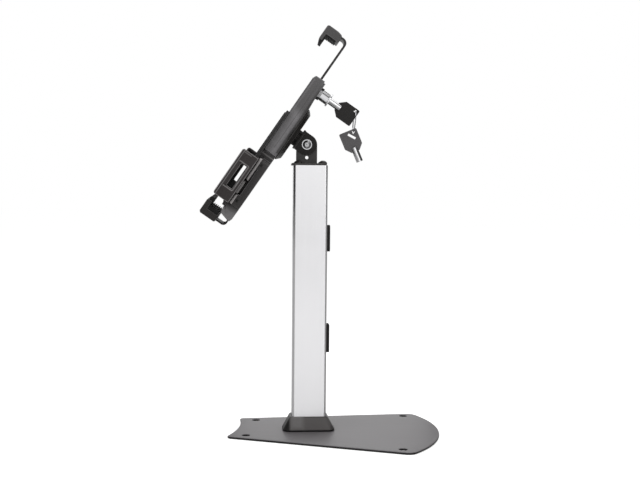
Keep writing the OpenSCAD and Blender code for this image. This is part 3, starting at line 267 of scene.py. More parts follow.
# Each zone paints light and shade: its two corners and soft border in mm, with X the same on both
# sides, then its painted tone, amount and break-up by noise
finishes = {
    "powderCoat": dict(
        color=(0.012, 0.0105, 0.0098), variation=0.3, roughness=0.42, spread=0.1, grain=2600,
        bump=0.12, edge=(0.075, 0.07, 0.068), specular=0.2),
    # Black powder coat drawn grey, partly a painted sheen of its grazing view; the zone paints the
    # sides below 2.45 mm near black and the rounded edges are darker, both painted shade
    "platePaint": dict(
        color=(0.135, 0.1265, 0.133), variation=0.14, roughness=0.42, spread=0.05, grain=2600,
        bump=0.03, edge=(0.09, 0.086, 0.088), specular=0.25, coat=0.85, coatRoughness=0.64,
        zones=[
            ((-1, -300, -1), (300, 300, 2.45), 0.2, (0.006, 0.0055, 0.0055), 1, 0)]),
    # Casing zones: a broad painted highlight low on the sides, a painted-shade line and a painted
    # highlight line along the sides, painted shade on the upper front and on the rear band; the
    # streaks are partly painted sheen
    "casingGrey": dict(
        color=(0.1, 0.096, 0.098), variation=0.14, roughness=0.4, spread=0.16, grain=3200,
        bump=0.12, edge=(0.24, 0.236, 0.242), edgeAmount=0.8, along="holder", streaks=0.7,
        specular=0.45,
        zones=[
            ((20, -46, 16), (50, 30, 40), 14, (0.225, 0.218, 0.226), 1, 0.9),
            ((30, -24, 28.4), (50, 46, 29.6), 0.6, (0.055, 0.052, 0.053), 0.7, 1),
            ((30, -30, 35), (50, 66, 36.4), 0.7, (0.19, 0.185, 0.19), 0.7, 1),
            ((30, 21, 37.2), (50, 80, 60), 0.6, (0.03, 0.028, 0.028), 0.9, 0.2),
            ((30, -28, 20), (50, 74, 25), 1.2, (0.05, 0.047, 0.046), 0.75, 0.4)]),
    # Lower casing zones: a painted highlight on the cross-arm's ends and rims, two painted-shade
    # notches, painted highlight lines by the seam and over the rounded lower end; the streaks are
    # partly painted sheen
    "lowerGrey": dict(
        color=(0.044, 0.041, 0.041), variation=0.16, roughness=0.42, spread=0.14, grain=3200,
        bump=0.12, edge=(0.26, 0.25, 0.255), edgeAmount=0.9, along="holder", streaks=0.6,
        zones=[
            ((50, -106, 31.8), (70, -38, 37), 0.3, (0.38, 0.362, 0.358), 1, 0.5),
            ((50, -50, 27.4), (70, -46, 30.6), 0.8, (0.006, 0.0055, 0.005), 1, 0),
            ((50, -98, 27.4), (70, -94, 30.6), 0.8, (0.006, 0.0055, 0.005), 1, 0),
            ((28, -37, 22), (45, -35, 39), 0.6, (0.2, 0.192, 0.19), 0.9, 0.5),
            ((-1, -140, 0), (80, -106, 60), 7, (0.18, 0.174, 0.176), 1, 0.8)]),
    "coverDark": dict(
        color=(0.022, 0.0205, 0.02), variation=0.15, roughness=0.5, spread=0.06, grain=3000,
        bump=0.14, edge=(0.13, 0.127, 0.13), along="holder", streaks=0.2),
    # Clamp zones are painted highlights: a second light line inside the front edge and a light
    # line along the front edge
    "clampPlastic": dict(
        color=(0.034, 0.029, 0.029), variation=0.16, roughness=0.46, spread=0.08, grain=3000,
        bump=0.12, edge=(0.22, 0.21, 0.21), edgeAmount=0.8, along="holder", streaks=0.3,
        zones=[
            ((74, -101, 52.4), (77, -44, 53.8), 0.5, (0.16, 0.153, 0.153), 1, 0.4),
            ((74, -46, 43), (77, -44.7, 53.8), 0.5, (0.16, 0.153, 0.153), 1, 0.4),
            ((73, -101, 55.1), (77, -42, 57), 0.3, (0.4, 0.385, 0.385), 1, 0.5)]),
    "topHookPlastic": dict(
        color=(0.075, 0.072, 0.072), variation=0.2, roughness=0.44, spread=0.08, grain=3000,
        bump=0.12, edge=(0.16, 0.155, 0.155)),
    "hookPlastic": dict(
        color=(0.031, 0.0287, 0.0275), variation=0.2, roughness=0.44, spread=0.08, grain=3000,
        bump=0.12, edge=(0.13, 0.125, 0.124), specular=0.25),
    "clipPlastic": dict(
        color=(0.016, 0.015, 0.0148), variation=0.2, roughness=0.5, spread=0.08, grain=3000,
        bump=0.12, edge=(0.04, 0.038, 0.037), specular=0.12),
    # Collar zones: a painted highlight in a vertical band, painted shade at both sides and along
    # the foot; the darker rounded edges are painted shade too
    "collarPlastic": dict(
        color=(0.1, 0.0935, 0.092), variation=0.22, roughness=0.36, spread=0.08, grain=2600,
        bump=0.08, edge=(0.02, 0.018, 0.017), specular=0.25, along="mast",
        zones=[
            ((-1, -24, 4), (60, -4, 26), 6, (0.16, 0.153, 0.152), 1, 0.4),
            ((-1, -40, -1), (60, -21, 30), 3, (0.004, 0.0035, 0.003), 1, 0.2),
            ((-1, 24, -1), (60, 40, 30), 5, (0.02, 0.018, 0.017), 0.9, 0.2),
            ((-1, -40, -1), (60, 40, 6), 2, (0.012, 0.011, 0.01), 1, 0.2)]),
    "keyPlastic": dict(
        color=(0.016, 0.0145, 0.0138), variation=0.2, roughness=0.4, spread=0.06, grain=3000,
        bump=0.08, edge=(0.08, 0.077, 0.076), specular=0.25),
    "sparePlastic": dict(
        color=(0.095, 0.091, 0.093), variation=0.2, roughness=0.42, spread=0.06, grain=3000,
        bump=0.08, edge=(0.17, 0.167, 0.17)),
    "softRubber": dict(
        color=(0.014, 0.0135, 0.0135), variation=0.25, roughness=0.72, spread=0.08, grain=1800,
        bump=0.25, edge=(0.03, 0.03, 0.03), specular=0.2),
    "matRubber": dict(
        color=(0.012, 0.012, 0.012), variation=0.25, roughness=0.85, spread=0.05, grain=900,
        bump=0.4, specular=0.2),
    "anodised": dict(
        color=(0.88, 0.875, 0.89), variation=0.05, roughness=0.22, spread=0.04, grain=2400,
        bump=0.03, metallic=1.0, edge=(0.9, 0.9, 0.91), edgeAmount=0.4, along="upright",
        streaks=0.05),
    "zincSteel": dict(
        color=(0.5, 0.5, 0.51), variation=0.12, roughness=0.32, spread=0.08, grain=1500,
        bump=0.05, metallic=1.0, edge=(0.7, 0.7, 0.71)),
    "polished": dict(
        color=(0.62, 0.62, 0.635), variation=0.06, roughness=0.13, spread=0.05, grain=900,
        bump=0.01, metallic=1.0, edge=(0.85, 0.85, 0.87), smoothing=0.02, along="holder",
        streaks=0.2),
    # Barrel zones are painted dark reflection bands, and its lengthwise streaks are partly painted
    # reflection
    "barrelChrome": dict(
        color=(0.8, 0.8, 0.815), variation=0.06, roughness=0.14, spread=0.05, grain=900,
        bump=0.02, metallic=1.0, edge=(0.9, 0.9, 0.92), smoothing=0.02, along="lock", streaks=1.2,
        zones=[
            ((3, 9.6, -60.6), (9, 30, -58.6), 0.5, (0.07, 0.067, 0.067), 0.9, 0.8),
            ((0, 9.6, -70), (9, 30, -61.8), 0.6, (0.05, 0.048, 0.048), 1, 0.6),
            ((0, 9.6, -52.4), (9, 30, -40), 0.6, (0.03, 0.028, 0.028), 1, 0.3)]),
    # Key zones: a painted dark reflection streak along the shaft and painted shade along its lower
    # edge; the lengthwise streaks are partly painted reflection
    "keyChrome": dict(
        color=(0.66, 0.655, 0.66), variation=0.08, roughness=0.16, spread=0.05, grain=900,
        bump=0.02, metallic=1.0, edge=(0.8, 0.8, 0.82), smoothing=0.02, along="lock", streaks=2.2,
        zones=[
            ((0, -60, -57), (9, 9, -54.6), 0.5, (0.3, 0.295, 0.295), 0.8, 1.4),
            ((0, -60, -54.4), (9, 9, -40), 0.4, (0.04, 0.038, 0.038), 1, 0.3)]),
    # Lengthwise streaks here are partly painted reflection on the spare key's chrome
    "spareChrome": dict(
        color=(0.84, 0.84, 0.85), variation=0.06, roughness=0.12, spread=0.05, grain=900,
        bump=0.02, metallic=1.0, edge=(0.8, 0.8, 0.82), smoothing=0.02, along="spare",
        streaks=1.0),
    # The zone is a painted highlight: a light band on the black nut
    "nutSteel": dict(
        color=(0.02, 0.019, 0.019), variation=0.1, roughness=0.3, spread=0.05, grain=900,
        bump=0.02, specular=0.4, edge=(0.12, 0.12, 0.12), along="lock",
        zones=[
            ((3, -5, -61.6), (12, 40, -52.6), 0.6, (0.7, 0.7, 0.71), 0.9, 0.6)]),
    "bracketCoat": dict(
        color=(0.023, 0.0205, 0.0192), variation=0.3, roughness=0.32, spread=0.1, grain=2600,
        bump=0.1, edge=(0.12, 0.113, 0.11), specular=0.45),
    # Black-painted arms drawn light grey, a painted highlight for the lit band below the clamps
    "armCoat": dict(
        color=(0.17, 0.162, 0.16), variation=0.2, roughness=0.38, spread=0.1, grain=2600,
        bump=0.08, edge=(0.24, 0.23, 0.228), specular=0.4, along="holder", streaks=0.4),
    "barCoat": dict(
        color=(0.026, 0.0243, 0.0238), variation=0.3, roughness=0.38, spread=0.1, grain=2600,
        bump=0.1, edge=(0.1, 0.095, 0.093), specular=0.35),
    "paleNylon": dict(
        color=(0.72, 0.7, 0.64), variation=0.06, roughness=0.5, spread=0.05, grain=1500,
        bump=0.05, edge=(0.8, 0.79, 0.75)),
    "threadSteel": dict(
        color=(0.2, 0.195, 0.195), variation=0.1, roughness=0.35, spread=0.08, grain=1500,
        bump=0.04, metallic=1.0),
}
materials = {name: makeFinish(name, **values) for name, values in finishes.items()}
print("materials built:", len(materials))


# Gives a finished mesh its body and hides the nodes that it stands for
def seat(piece, nodes):
    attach(piece, frame["nodes"][nodes[0]]["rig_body"])
    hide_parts(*nodes)


# How far each edge is rounded, as a share of the width given for the piece, where it isn't the
# same all over: limits in mm in the piece's own frame
edgeShares = {
    "upperCasing": dict(hubRadius=34, channelX=16, channelTop=33, lowerEnd=-30, outerX=33.5,
                        atEnd=1, elsewhere=0.55),
    "lowerCasing": dict(lowerEnd=-114, outerX=20, atEnd=1, elsewhere=0.3),
    "collarTop": dict(above=12, middleX=9.5, middleY=17, reach=4.2, outside=0.6),
    "collarFoot": dict(middleX=8.5, middleY=22.5, reach=6.5, outside=1),
    "plate": dict(holes=((40, -68), (85, 112)), rimRadius=8, atRim=0.2, elsewhere=1),
}


# Crisp inside the hub's seat and along the bar's channel
def roundUpperCasing(point):
    limits = edgeShares["upperCasing"]
    x, u, w = onHolder.inverted() @ point
    inChannel = abs(x) < limits["channelX"] and w < limits["channelTop"]
    if math.hypot(x, u) < limits["hubRadius"] or inChannel:
        return 0
    atEnd = u < limits["lowerEnd"] and abs(x) > limits["outerX"]
    return limits["atEnd" if atEnd else "elsewhere"]


def roundLowerCasing(point):
    limits = edgeShares["lowerCasing"]
    x, u, w = onHolder.inverted() @ point
    atEnd = u < limits["lowerEnd"] and abs(x) > limits["outerX"]
    return limits["atEnd" if atEnd else "elsewhere"]


# The collar's outer edges are round, the ones against the mast and the plate are crisp
def roundCollar(point):
    x, y, z = onMast.inverted() @ point
    limits = edgeShares["collarTop" if z > edgeShares["collarTop"]["above"] else "collarFoot"]
    away = math.hypot(max(abs(x) - limits["middleX"], 0), max(abs(y) - limits["middleY"], 0))
    return limits["outside"] if away > limits["reach"] else 0


# The plate's four fixing holes keep crisp rims
def roundPlate(point):
    limits = edgeShares["plate"]
    away = min(math.hypot(abs(point.x) - x, point.y - y) for x, y in limits["holes"])
    return limits["atRim" if away < limits["rimRadius"] else "elsewhere"]


roundingRules = {"base_plate": roundPlate, "foot_collar": roundCollar,
                 "upper_casing": roundUpperCasing, "lower_casing": roundLowerCasing}
softening = dict(mergeWithin=2e-6, flatAngle=0.6, sharpAngle=28)  # metres, degrees


# A copy of a CAD node with flat areas merged and edges rounded, which then stands for the node
def softened(node, finishName, width, segments=2):
    mesh = frame["nodes"][node].data.copy()
    bm = bmesh.new()
    bm.from_mesh(mesh)
    bmesh.ops.remove_doubles(bm, verts=bm.verts, dist=softening["mergeWithin"])
    bmesh.ops.dissolve_limit(bm, angle_limit=math.radians(softening["flatAngle"]),
                             verts=bm.verts, edges=bm.edges)
    bmesh.ops.connect_verts_concave(bm, faces=bm.faces)
    for face in bm.faces:
        face.smooth = True
        face.material_index = 0
    weights = bm.edges.layers.float.new("bevel_weight_edge")
    sharpAngle = math.radians(softening["sharpAngle"])
    for edge in bm.edges:
        if edge.is_manifold and edge.calc_face_angle(0) > sharpAngle:
            middle = (edge.verts[0].co + edge.verts[1].co) / (2 * mm)
            edge[weights] = roundingRules[node](middle) if node in roundingRules else 1
    bm.to_mesh(mesh)
    bm.free()
    mesh.materials.clear()
    mesh.materials.append(materials[finishName])
    mesh.materials.append(materials[finishName])  # a second slot, to mark the rounded faces
    draft = placed(mesh, "draft")
    rounding = draft.modifiers.new("rounding", "BEVEL")
    rounding.width = width * mm
    rounding.segments = segments
    rounding.limit_method = "WEIGHT"
    rounding.use_clamp_overlap = False
    rounding.loop_slide = False
    rounding.harden_normals = True
    rounding.material = 1
    draft.modifiers.new("shading", "WEIGHTED_NORMAL").keep_sharp = True
    evaluated = draft.evaluated_get(bpy.context.evaluated_depsgraph_get())
    rounded = bpy.data.meshes.new_from_object(evaluated)
    bpy.data.objects.remove(draft)
    edges = [float(face.material_index) for face in rounded.polygons]
    rounded.attributes.new("roundedEdge", "FLOAT", "FACE").data.foreach_set("value", edges)
    rounded.polygons.foreach_set("material_index", [0] * len(edges))
    rounded.materials.clear()
    rounded.materials.append(materials[finishName])
    seat(placed(rounded, pieceName(node)), [node])


# Finish, material slot and width of the rounding in mm
roundedNodes = {
    "base_plate": ("platePaint", "black_paint", 0.7),
    "foot_collar": ("collarPlastic", "black_plastic", 1.5),
    "mast": ("anodised", "mast_alu", 0.3),
    "lower_clip": ("clipPlastic", "black_plastic", 0.5),
    "upper_clip": ("clipPlastic", "black_plastic", 0.5),
    "mast_bracket": ("bracketCoat", "black_paint", 0.4),
    "tilt_fork": ("powderCoat", "black_paint", 0.5),
    "tilt_bolt": ("zincSteel", "bright_steel", 0.2),
    "tilt_nut": ("zincSteel", "bright_steel", 0.3),
    "tilt_washers": ("polished", "chrome", 0.15),
    "hub_disc": ("powderCoat", "black_paint", 0.6),
    "upper_casing": ("casingGrey", "casing_grey", 1.6),
    "lower_casing": ("lowerGrey", "casing_grey", 1.6),
    "front_cover": ("coverDark", "black_plastic", 0.5),
    "left_clamp": ("clampPlastic", "black_plastic", 0.9),
    "right_clamp": ("clampPlastic", "black_plastic", 0.9),
    "left_arm": ("armCoat", "black_paint", 0.3),
    "right_arm": ("armCoat", "black_paint", 0.3),
    "top_bar": ("barCoat", "black_paint", 0.3),
    "top_hook": ("topHookPlastic", "black_plastic", 0.8),
    "bottom_bar": ("barCoat", "black_paint", 0.3),
    "bottom_hook": ("hookPlastic", "black_plastic", 0.55),
    "lock_barrel": ("barrelChrome", "chrome", 0.25),
    "lock_nut": ("nutSteel", "lock_nut_black", 0.3),
    "key_shaft": ("keyChrome", "chrome", 0.2),
    "spare_shaft": ("spareChrome", "chrome", 0.2),
    "key_bow": ("keyPlastic", "black_plastic", 0.6),
    "spare_bow": ("sparePlastic", "black_plastic", 0.6),
}
for node, (finishName, slot, width) in roundedNodes.items():
    softened(node, finishName, width)
print("rounded pieces:", len(roundedNodes))

# Soft rubber pieces: the moulded pads of hooks and clamps, and the mat, with the share of the
# solid that they fill
rubberNodes = {
    "base_mat": ("matRubber", "mat_rubber", 0.5, 1.0),
    "top_pad": ("softRubber", "pad_rubber", 0.35, 1.0),
    "bottom_pad": ("softRubber", "pad_rubber", 0.35, 1.0),
    "left_pad": ("softRubber", "pad_rubber", 0.5, 1.0),
    "right_pad": ("softRubber", "pad_rubber", 0.5, 1.0),
}
for node, (finishName, slot, width, fill) in rubberNodes.items():
    softened(node, finishName, width, segments=3)
print("rubber pieces:", len(rubberNodes))


# Turns a shape drawn in mm into a mesh with one finish
def finishedMesh(bm, name, finishName):
    mesh = bpy.data.meshes.new(name)
    bm.to_mesh(mesh)
    bm.free()
    mesh.materials.append(materials[finishName])
    return mesh


# The tablet's rest: a moulded sheet with a rolled rim and soft lengthwise channels
cushion = dict(halfWidth=45, low=-107, high=16, base=41, top=42, corner=4.5, rim=0.75,
               channelPitch=9, channelDepth=0.35, channelSharpness=6, plainBorder=3,
               channelFade=2, columns=81, rows=42, closeSteps=4, smoothAbove=0.3, mostCorners=5)


def buildCushion(values):
    corner, rim = values["corner"], values["rim"]
    width, low, high = values["halfWidth"], values["low"], values["high"]

    def rimDistance(x, u):
        inX, inU = width - abs(x), min(u - low, high - u)
        if inX < corner and inU < corner:
            return corner - math.hypot(corner - inX, corner - inU)
        return min(inX, inU)

    def halfAt(u):
        inU = min(u - low, high - u)
        drop = corner - min(inU, corner)
        return width - corner + math.sqrt(max(corner * corner - drop * drop, 0))

    # Even steps, drawn closer together next to both ends
    def steps(count, start, end):
        close = values["closeSteps"]
        shares = [0.5 - 0.5 * math.cos(math.pi * k / count) if k < close or k > count - close
                  else k / count for k in range(count + 1)]
        return sorted(start + (end - start) * share for share in shares)

    bm = bmesh.new()
    rows = []
    for u in steps(values["rows"], low, high):
        half = halfAt(u)
        row = []
        for x in steps(values["columns"], -half, half):
            fromRim = rimDistance(x, u)
            reach = max(0, min(rim, fromRim))
            roll = math.sqrt(max(rim * rim - (rim - reach) ** 2, 0)) - rim
            wave = max(0, math.cos(2 * math.pi * x / values["channelPitch"]))
            channel = wave ** values["channelSharpness"]
            inside = min(1, max(0, fromRim - values["plainBorder"]) / values["channelFade"])
            height = values["top"] + roll - values["channelDepth"] * channel * inside
            row.append(bm.verts.new((x, u, height)))
        rows.append(row)
    for near, far in zip(rows, rows[1:]):
        for k in range(len(near) - 1):
            bm.faces.new((near[k], near[k + 1], far[k + 1], far[k]))
    border = rows[0] + [row[-1] for row in rows[1:-1]]
    border += rows[-1][::-1] + [row[0] for row in rows[-2:0:-1]]
    feet = [bm.verts.new((*vert.co.xy, values["base"])) for vert in border]
    for k in range(len(border)):
        bm.faces.new((border[k], border[k - 1], feet[k - 1], feet[k]))
    bm.faces.new(feet)
    bmesh.ops.recalc_face_normals(bm, faces=bm.faces)
    for face in bm.faces:  # all but the skirt, which stands upright, and the many-cornered back
        upright = abs(face.normal.z) <= values["smoothAbove"]
        face.smooth = not upright and len(face.verts) <= values["mostCorners"]
    piece = placed(finishedMesh(bm, "cushion", "softRubber"), pieceName("cushion"), onHolder)
    seat(piece, ["cushion"])


buildCushion(cushion)
print("cushion built")


# Raised rims along the ends of the cross-arm, clear of both sliding arms. Spans: side, start and
# end up the holder. Taper: distance from a span's end and the rim's share of its size there
crossArmRims = dict(inner=55.1, outer=58, base=30.8, top=34.8, roll=1.5, rollSteps=4, chamfer=0.6,
                    taper=((0, 0.6), (0.5, 0.88), (1.3, 1)),
                    spans=((1, -102.5, -90), (1, -70.5, -41.5),
                           (-1, -102.5, -73), (-1, -54, -41.5)))


def buildRims(values):
    inner, outer, base, top = (values[key] for key in ("inner", "outer", "base", "top"))
    roll, chamfer, taper = values["roll"], values["chamfer"], values["taper"]
    profile = []
    for k in range(values["rollSteps"] + 1):
        turn = math.radians(90 / values["rollSteps"] * k)
        profile.append((outer - roll + roll * math.cos(turn), top - roll + roll * math.sin(turn)))
    profile += [(inner + chamfer, top), (inner, top - chamfer), (inner, base), (outer, base)]
    middle = (inner + outer) / 2
    bm = bmesh.new()
    for side, start, end in values["spans"]:
        rows = []
        sections = [(start + away, share) for away, share in taper]
        sections += [(end - away, share) for away, share in reversed(taper)]
        for u, share in sections:
            rows.append([bm.verts.new((side * (middle + (x - middle) * share), u,
                                       base + (w - base) * share)) for x, w in profile])
        for near, far in zip(rows, rows[1:]):
            for k in range(len(profile)):
                j = (k + 1) % len(profile)
                bm.faces.new((near[k], near[j], far[j], far[k]))
        bm.faces.new(rows[0])
        bm.faces.new(rows[-1])
    bmesh.ops.recalc_face_normals(bm, faces=bm.faces)
    for face in bm.faces:
        face.smooth = len(face.verts) == 4
    piece = placed(finishedMesh(bm, "crossArmRims", "lowerGrey"), "crossArmRims", onHolder)
    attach(piece, frame["nodes"]["lower_casing"]["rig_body"])


buildRims(crossArmRims)
print("cross-arm rims built")


# Geometry Nodes trees have named inputs and end in Realize Instances and Set Material
def endShapeTree(tree, geometry, out, finishName):
    solid = addNode(tree, "GeometryNodeRealizeInstances", {"Geometry": geometry})
    coated = addNode(tree, "GeometryNodeSetMaterial", {
        "Geometry": solid.outputs["Geometry"], "Material": materials[finishName]})
    feed(tree, out, {"Geometry": coated.outputs["Geometry"]})


def runShapeTree(tree, values):
    host = placed(bpy.data.meshes.new("host"), "host")
    modifier = host.modifiers.new("shape", "NODES")
    modifier.node_group = tree
    for item in tree.interface.items_tree:
        if item.in_out == "INPUT" and item.name in values:
            modifier[item.identifier] = values[item.name]
    evaluated = host.evaluated_get(bpy.context.evaluated_depsgraph_get())
    mesh = bpy.data.meshes.new_from_object(evaluated)
    bpy.data.objects.remove(host)
    return mesh


# Screw thread on the barrel's two round sides, one crest after another, from the start in mm
barrelThread = dict(lockU=57, start=10.3, arcSteps=18, crestSides=6, sides=(90, -90),
                    values={"Radius": 6.3, "Half Sweep": math.radians(52), "Pitch": 1.1,
                            "Turns": 8, "Crest": 0.34})


def buildThread(spec):
    tree, given, out = newTree("threadCrests", "GeometryNodeTree", [
        ("Radius", "NodeSocketFloat", 6.3), ("Half Sweep", "NodeSocketFloat", 0.9),
        ("Pitch", "NodeSocketFloat", 1.1), ("Turns", "NodeSocketInt", 8),
        ("Crest", "NodeSocketFloat", 0.3),
    ], [("Geometry", "NodeSocketGeometry")])
    both = addNode(tree, "GeometryNodeJoinGeometry")
    for middle in spec["sides"]:
        arc = addNode(tree, "GeometryNodeCurveArc", {
            "Resolution": spec["arcSteps"], "Radius": given["Radius"],
            "Start Angle": addMath(tree, "SUBTRACT", math.radians(middle), given["Half Sweep"]),
            "Sweep Angle": addMath(tree, "MULTIPLY", given["Half Sweep"], 2)}, mode="RADIUS")
        ring = addNode(tree, "GeometryNodeCurvePrimitiveCircle", {
            "Resolution": spec["crestSides"], "Radius": given["Crest"]})
        swept = addNode(tree, "GeometryNodeCurveToMesh", {
            "Curve": arc.outputs["Curve"], "Profile Curve": ring.outputs["Curve"],
            "Fill Caps": True})
        feed(tree, both, {"Geometry": swept.outputs["Mesh"]})
    step = addNode(tree, "ShaderNodeCombineXYZ", {"Z": given["Pitch"]})
    line = addNode(tree, "GeometryNodeMeshLine", {
        "Count": given["Turns"], "Offset": step.outputs[0]}, mode="OFFSET")
    repeated = addNode(tree, "GeometryNodeInstanceOnPoints", {
        "Points": line.outputs["Mesh"], "Instance": both.outputs["Geometry"]})
    endShapeTree(tree, repeated.outputs["Instances"], out, "threadSteel")
    piece = placed(runShapeTree(tree, spec["values"]), "barrelThread",
                   onHolder @ Matrix.Translation((0, spec["lockU"], spec["start"])))
    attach(piece, frame["nodes"]["lock_barrel"]["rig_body"])


# Grip studs on the inner faces of the clamp pads, left out where the window is
gripStuds = dict(inset=69.4, low=-99, high=-46, near=39.4, far=52, window=(-89, -56, 39, 50),
                 segments=10, rings=6,
                 values={"Pitch": 2.6, "Stud Radius": 0.75, "Stud Height": 0.4})


def buildStuds(spec):
    tree, given, out = newTree("gripStuds", "GeometryNodeTree", [
        ("Length", "NodeSocketFloat", 50.0), ("Depth", "NodeSocketFloat", 12.0),
        ("Pitch", "NodeSocketFloat", 2.6), ("Window Low", "NodeSocketVector", (0, 0, 0)),
        ("Window High", "NodeSocketVector", (0, 0, 0)),
        ("Stud Radius", "NodeSocketFloat", 0.75), ("Stud Height", "NodeSocketFloat", 0.4),
    ], [("Geometry", "NodeSocketGeometry")])
    sides = {}
    for length, axis in (("Length", "X"), ("Depth", "Y")):
        gaps = addMath(tree, "DIVIDE", given[length], given["Pitch"])
        sides["Size " + axis] = given[length]
        sides["Vertices " + axis] = addMath(tree, "ADD", gaps, 1)
    grid = addNode(tree, "GeometryNodeMeshGrid", sides)
    spot = splitVector(tree, addNode(tree, "GeometryNodeInputPosition").outputs[0])
    inWindow = 1
    for label, test in (("Window Low", "GREATER_THAN"), ("Window High", "LESS_THAN")):
        limit = splitVector(tree, given[label])
        for axis in ("X", "Y"):
            passed = addMath(tree, test, spot[axis], limit[axis])
            inWindow = addMath(tree, "MULTIPLY", inWindow, passed)
    kept = addNode(tree, "GeometryNodeDeleteGeometry", {
        "Geometry": grid.outputs["Mesh"], "Selection": inWindow}, domain="POINT")
    stud = addNode(tree, "GeometryNodeMeshUVSphere", {
        "Segments": spec["segments"], "Rings": spec["rings"], "Radius": given["Stud Radius"]})
    height = addMath(tree, "DIVIDE", given["Stud Height"], given["Stud Radius"])
    flat = addNode(tree, "ShaderNodeCombineXYZ", {"X": 1, "Y": 1, "Z": height})
    repeated = addNode(tree, "GeometryNodeInstanceOnPoints", {
        "Points": kept.outputs["Geometry"], "Instance": stud.outputs["Mesh"],
        "Scale": flat.outputs[0]})
    endShapeTree(tree, repeated.outputs["Instances"], out, "softRubber")
    middleU, middleW = (spec["low"] + spec["high"]) / 2, (spec["near"] + spec["far"]) / 2
    lowU, highU, lowW, highW = spec["window"]
    values = dict(spec["values"])
    values["Length"], values["Depth"] = spec["high"] - spec["low"], spec["far"] - spec["near"]
    values["Window Low"] = (lowU - middleU, lowW - middleW, 0)
    values["Window High"] = (highU - middleU, highW - middleW, 0)
    # The tree's X runs up the clamp, its Y out of the holder and its Z across
    for side, node in ((1, "right_pad"), (-1, "left_pad")):
        turn = Matrix(((0, 0, side, side * spec["inset"]), (1, 0, 0, middleU),
                       (0, 1, 0, middleW), (0, 0, 0, 1)))
        mesh = runShapeTree(tree, values)
        if turn.determinant() < 0:
            mesh.flip_normals()
        mesh.polygons.foreach_set("use_smooth", [True] * len(mesh.polygons))
        piece = placed(mesh, pieceName(node) + "Studs", onHolder @ turn)
        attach(piece, frame["nodes"][node]["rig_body"])


buildThread(barrelThread)
buildStuds(gripStuds)
print("thread and studs built")

# CAD nodes that keep their own shape, the others of them in zinc plated steel
keptFinishes = {
    "mast_screws": "bracketCoat", "cover_screws": "powderCoat", "arm_screws": "powderCoat",
    "key_ring": "polished", "slide_washer": "paleNylon", "tilt_slips": "paleNylon",
    "pivot_slip": "paleNylon", "arm_guide": "hookPlastic", "arm_glides": "hookPlastic",
}
replaced = set(roundedNodes) | set(rubberNodes) | {"cushion"}
for node, obj in frame["nodes"].items():
    if node not in replaced:
        obj.data.materials.clear()
        obj.data.materials.append(materials[keptFinishes.get(node, "zincSteel")])

studio = dict(floorSize=40, floorTone=0.9, seenGlow=0.55, farGlow=0.22, glowStart=0.3,
              glowReach=2.2, ambient=0.5)


def seenDirectly(tree, *rays):
    path = addNode(tree, "ShaderNodeLightPath")
    seen = path.outputs[rays[0]]
    for ray in rays[1:]:
        seen = addMath(tree, "MAXIMUM", seen, path.outputs[ray])
    return seen


# A material without its Principled shader, for what isn't part of the object
def bareMaterial(name):
    material = bpy.data.materials.new(name)
    material.use_nodes = True
    tree = material.node_tree
    tree.nodes.remove(tree.nodes["Principled BSDF"])
    return material, tree


def sheetMesh(name, width, height, material):
    x, y = width / 2, height / 2
    mesh = bpy.data.meshes.new(name)
    mesh.from_pydata([(-x, -y, 0), (x, -y, 0), (x, y, 0), (-x, y, 0)], [], [(0, 1, 2, 3)])
    mesh.materials.append(material)
    return mesh


def buildFloor():
    material, tree = bareMaterial("studioFloor")
    toCamera = addMath(tree, "MULTIPLY", seenDirectly(tree, "Is Camera Ray"), studio["seenGlow"])
    # Reflections see the floor brighter the farther it lies from the object
    reach = addNode(tree, "ShaderNodeVectorMath", {
        0: addNode(tree, "ShaderNodeTexCoord").outputs["Object"]}, operation="LENGTH")
    beyond = addMath(tree, "SUBTRACT", reach.outputs["Value"], studio["glowStart"])
    farShare = addMath(tree, "DIVIDE", beyond, studio["glowReach"], clamp=True)
    inReflection = addMath(tree, "MULTIPLY", seenDirectly(tree, "Is Glossy Ray"), farShare)
    glow = addNode(tree, "ShaderNodeEmission", {
        "Strength": addMath(tree, "MULTIPLY_ADD", inReflection, studio["farGlow"], toCamera)})
    matt = addNode(tree, "ShaderNodeBsdfDiffuse", {"Color": (*[studio["floorTone"]] * 3, 1)})
    both = addNode(tree, "ShaderNodeAddShader", {0: matt.outputs[0], 1: glow.outputs[0]})
    feed(tree, tree.nodes["Material Output"], {"Surface": both.outputs[0]})
    size = studio["floorSize"]
    placed(sheetMesh("studioFloor", size, size, material), "studioFloor")


def buildWorld():
    world = bpy.data.worlds.new("studioWorld")
    bpy.context.scene.world = world
    world.use_nodes = True
    tree = world.node_tree
    white = (1, 1, 1, 1)
    ambient = tree.nodes["Background"]
    feed(tree, ambient, {"Color": white, "Strength": studio["ambient"]})
    backdrop = addNode(tree, "ShaderNodeBackground", {"Color": white, "Strength": 1})
    seen = seenDirectly(tree, "Is Camera Ray", "Is Glossy Ray", "Is Transmission Ray")
    mix = addNode(tree, "ShaderNodeMixShader", {
        0: seen, 1: ambient.outputs[0], 2: backdrop.outputs[0]})
    feed(tree, tree.nodes["World Output"], {"Surface": mix.outputs[0]})


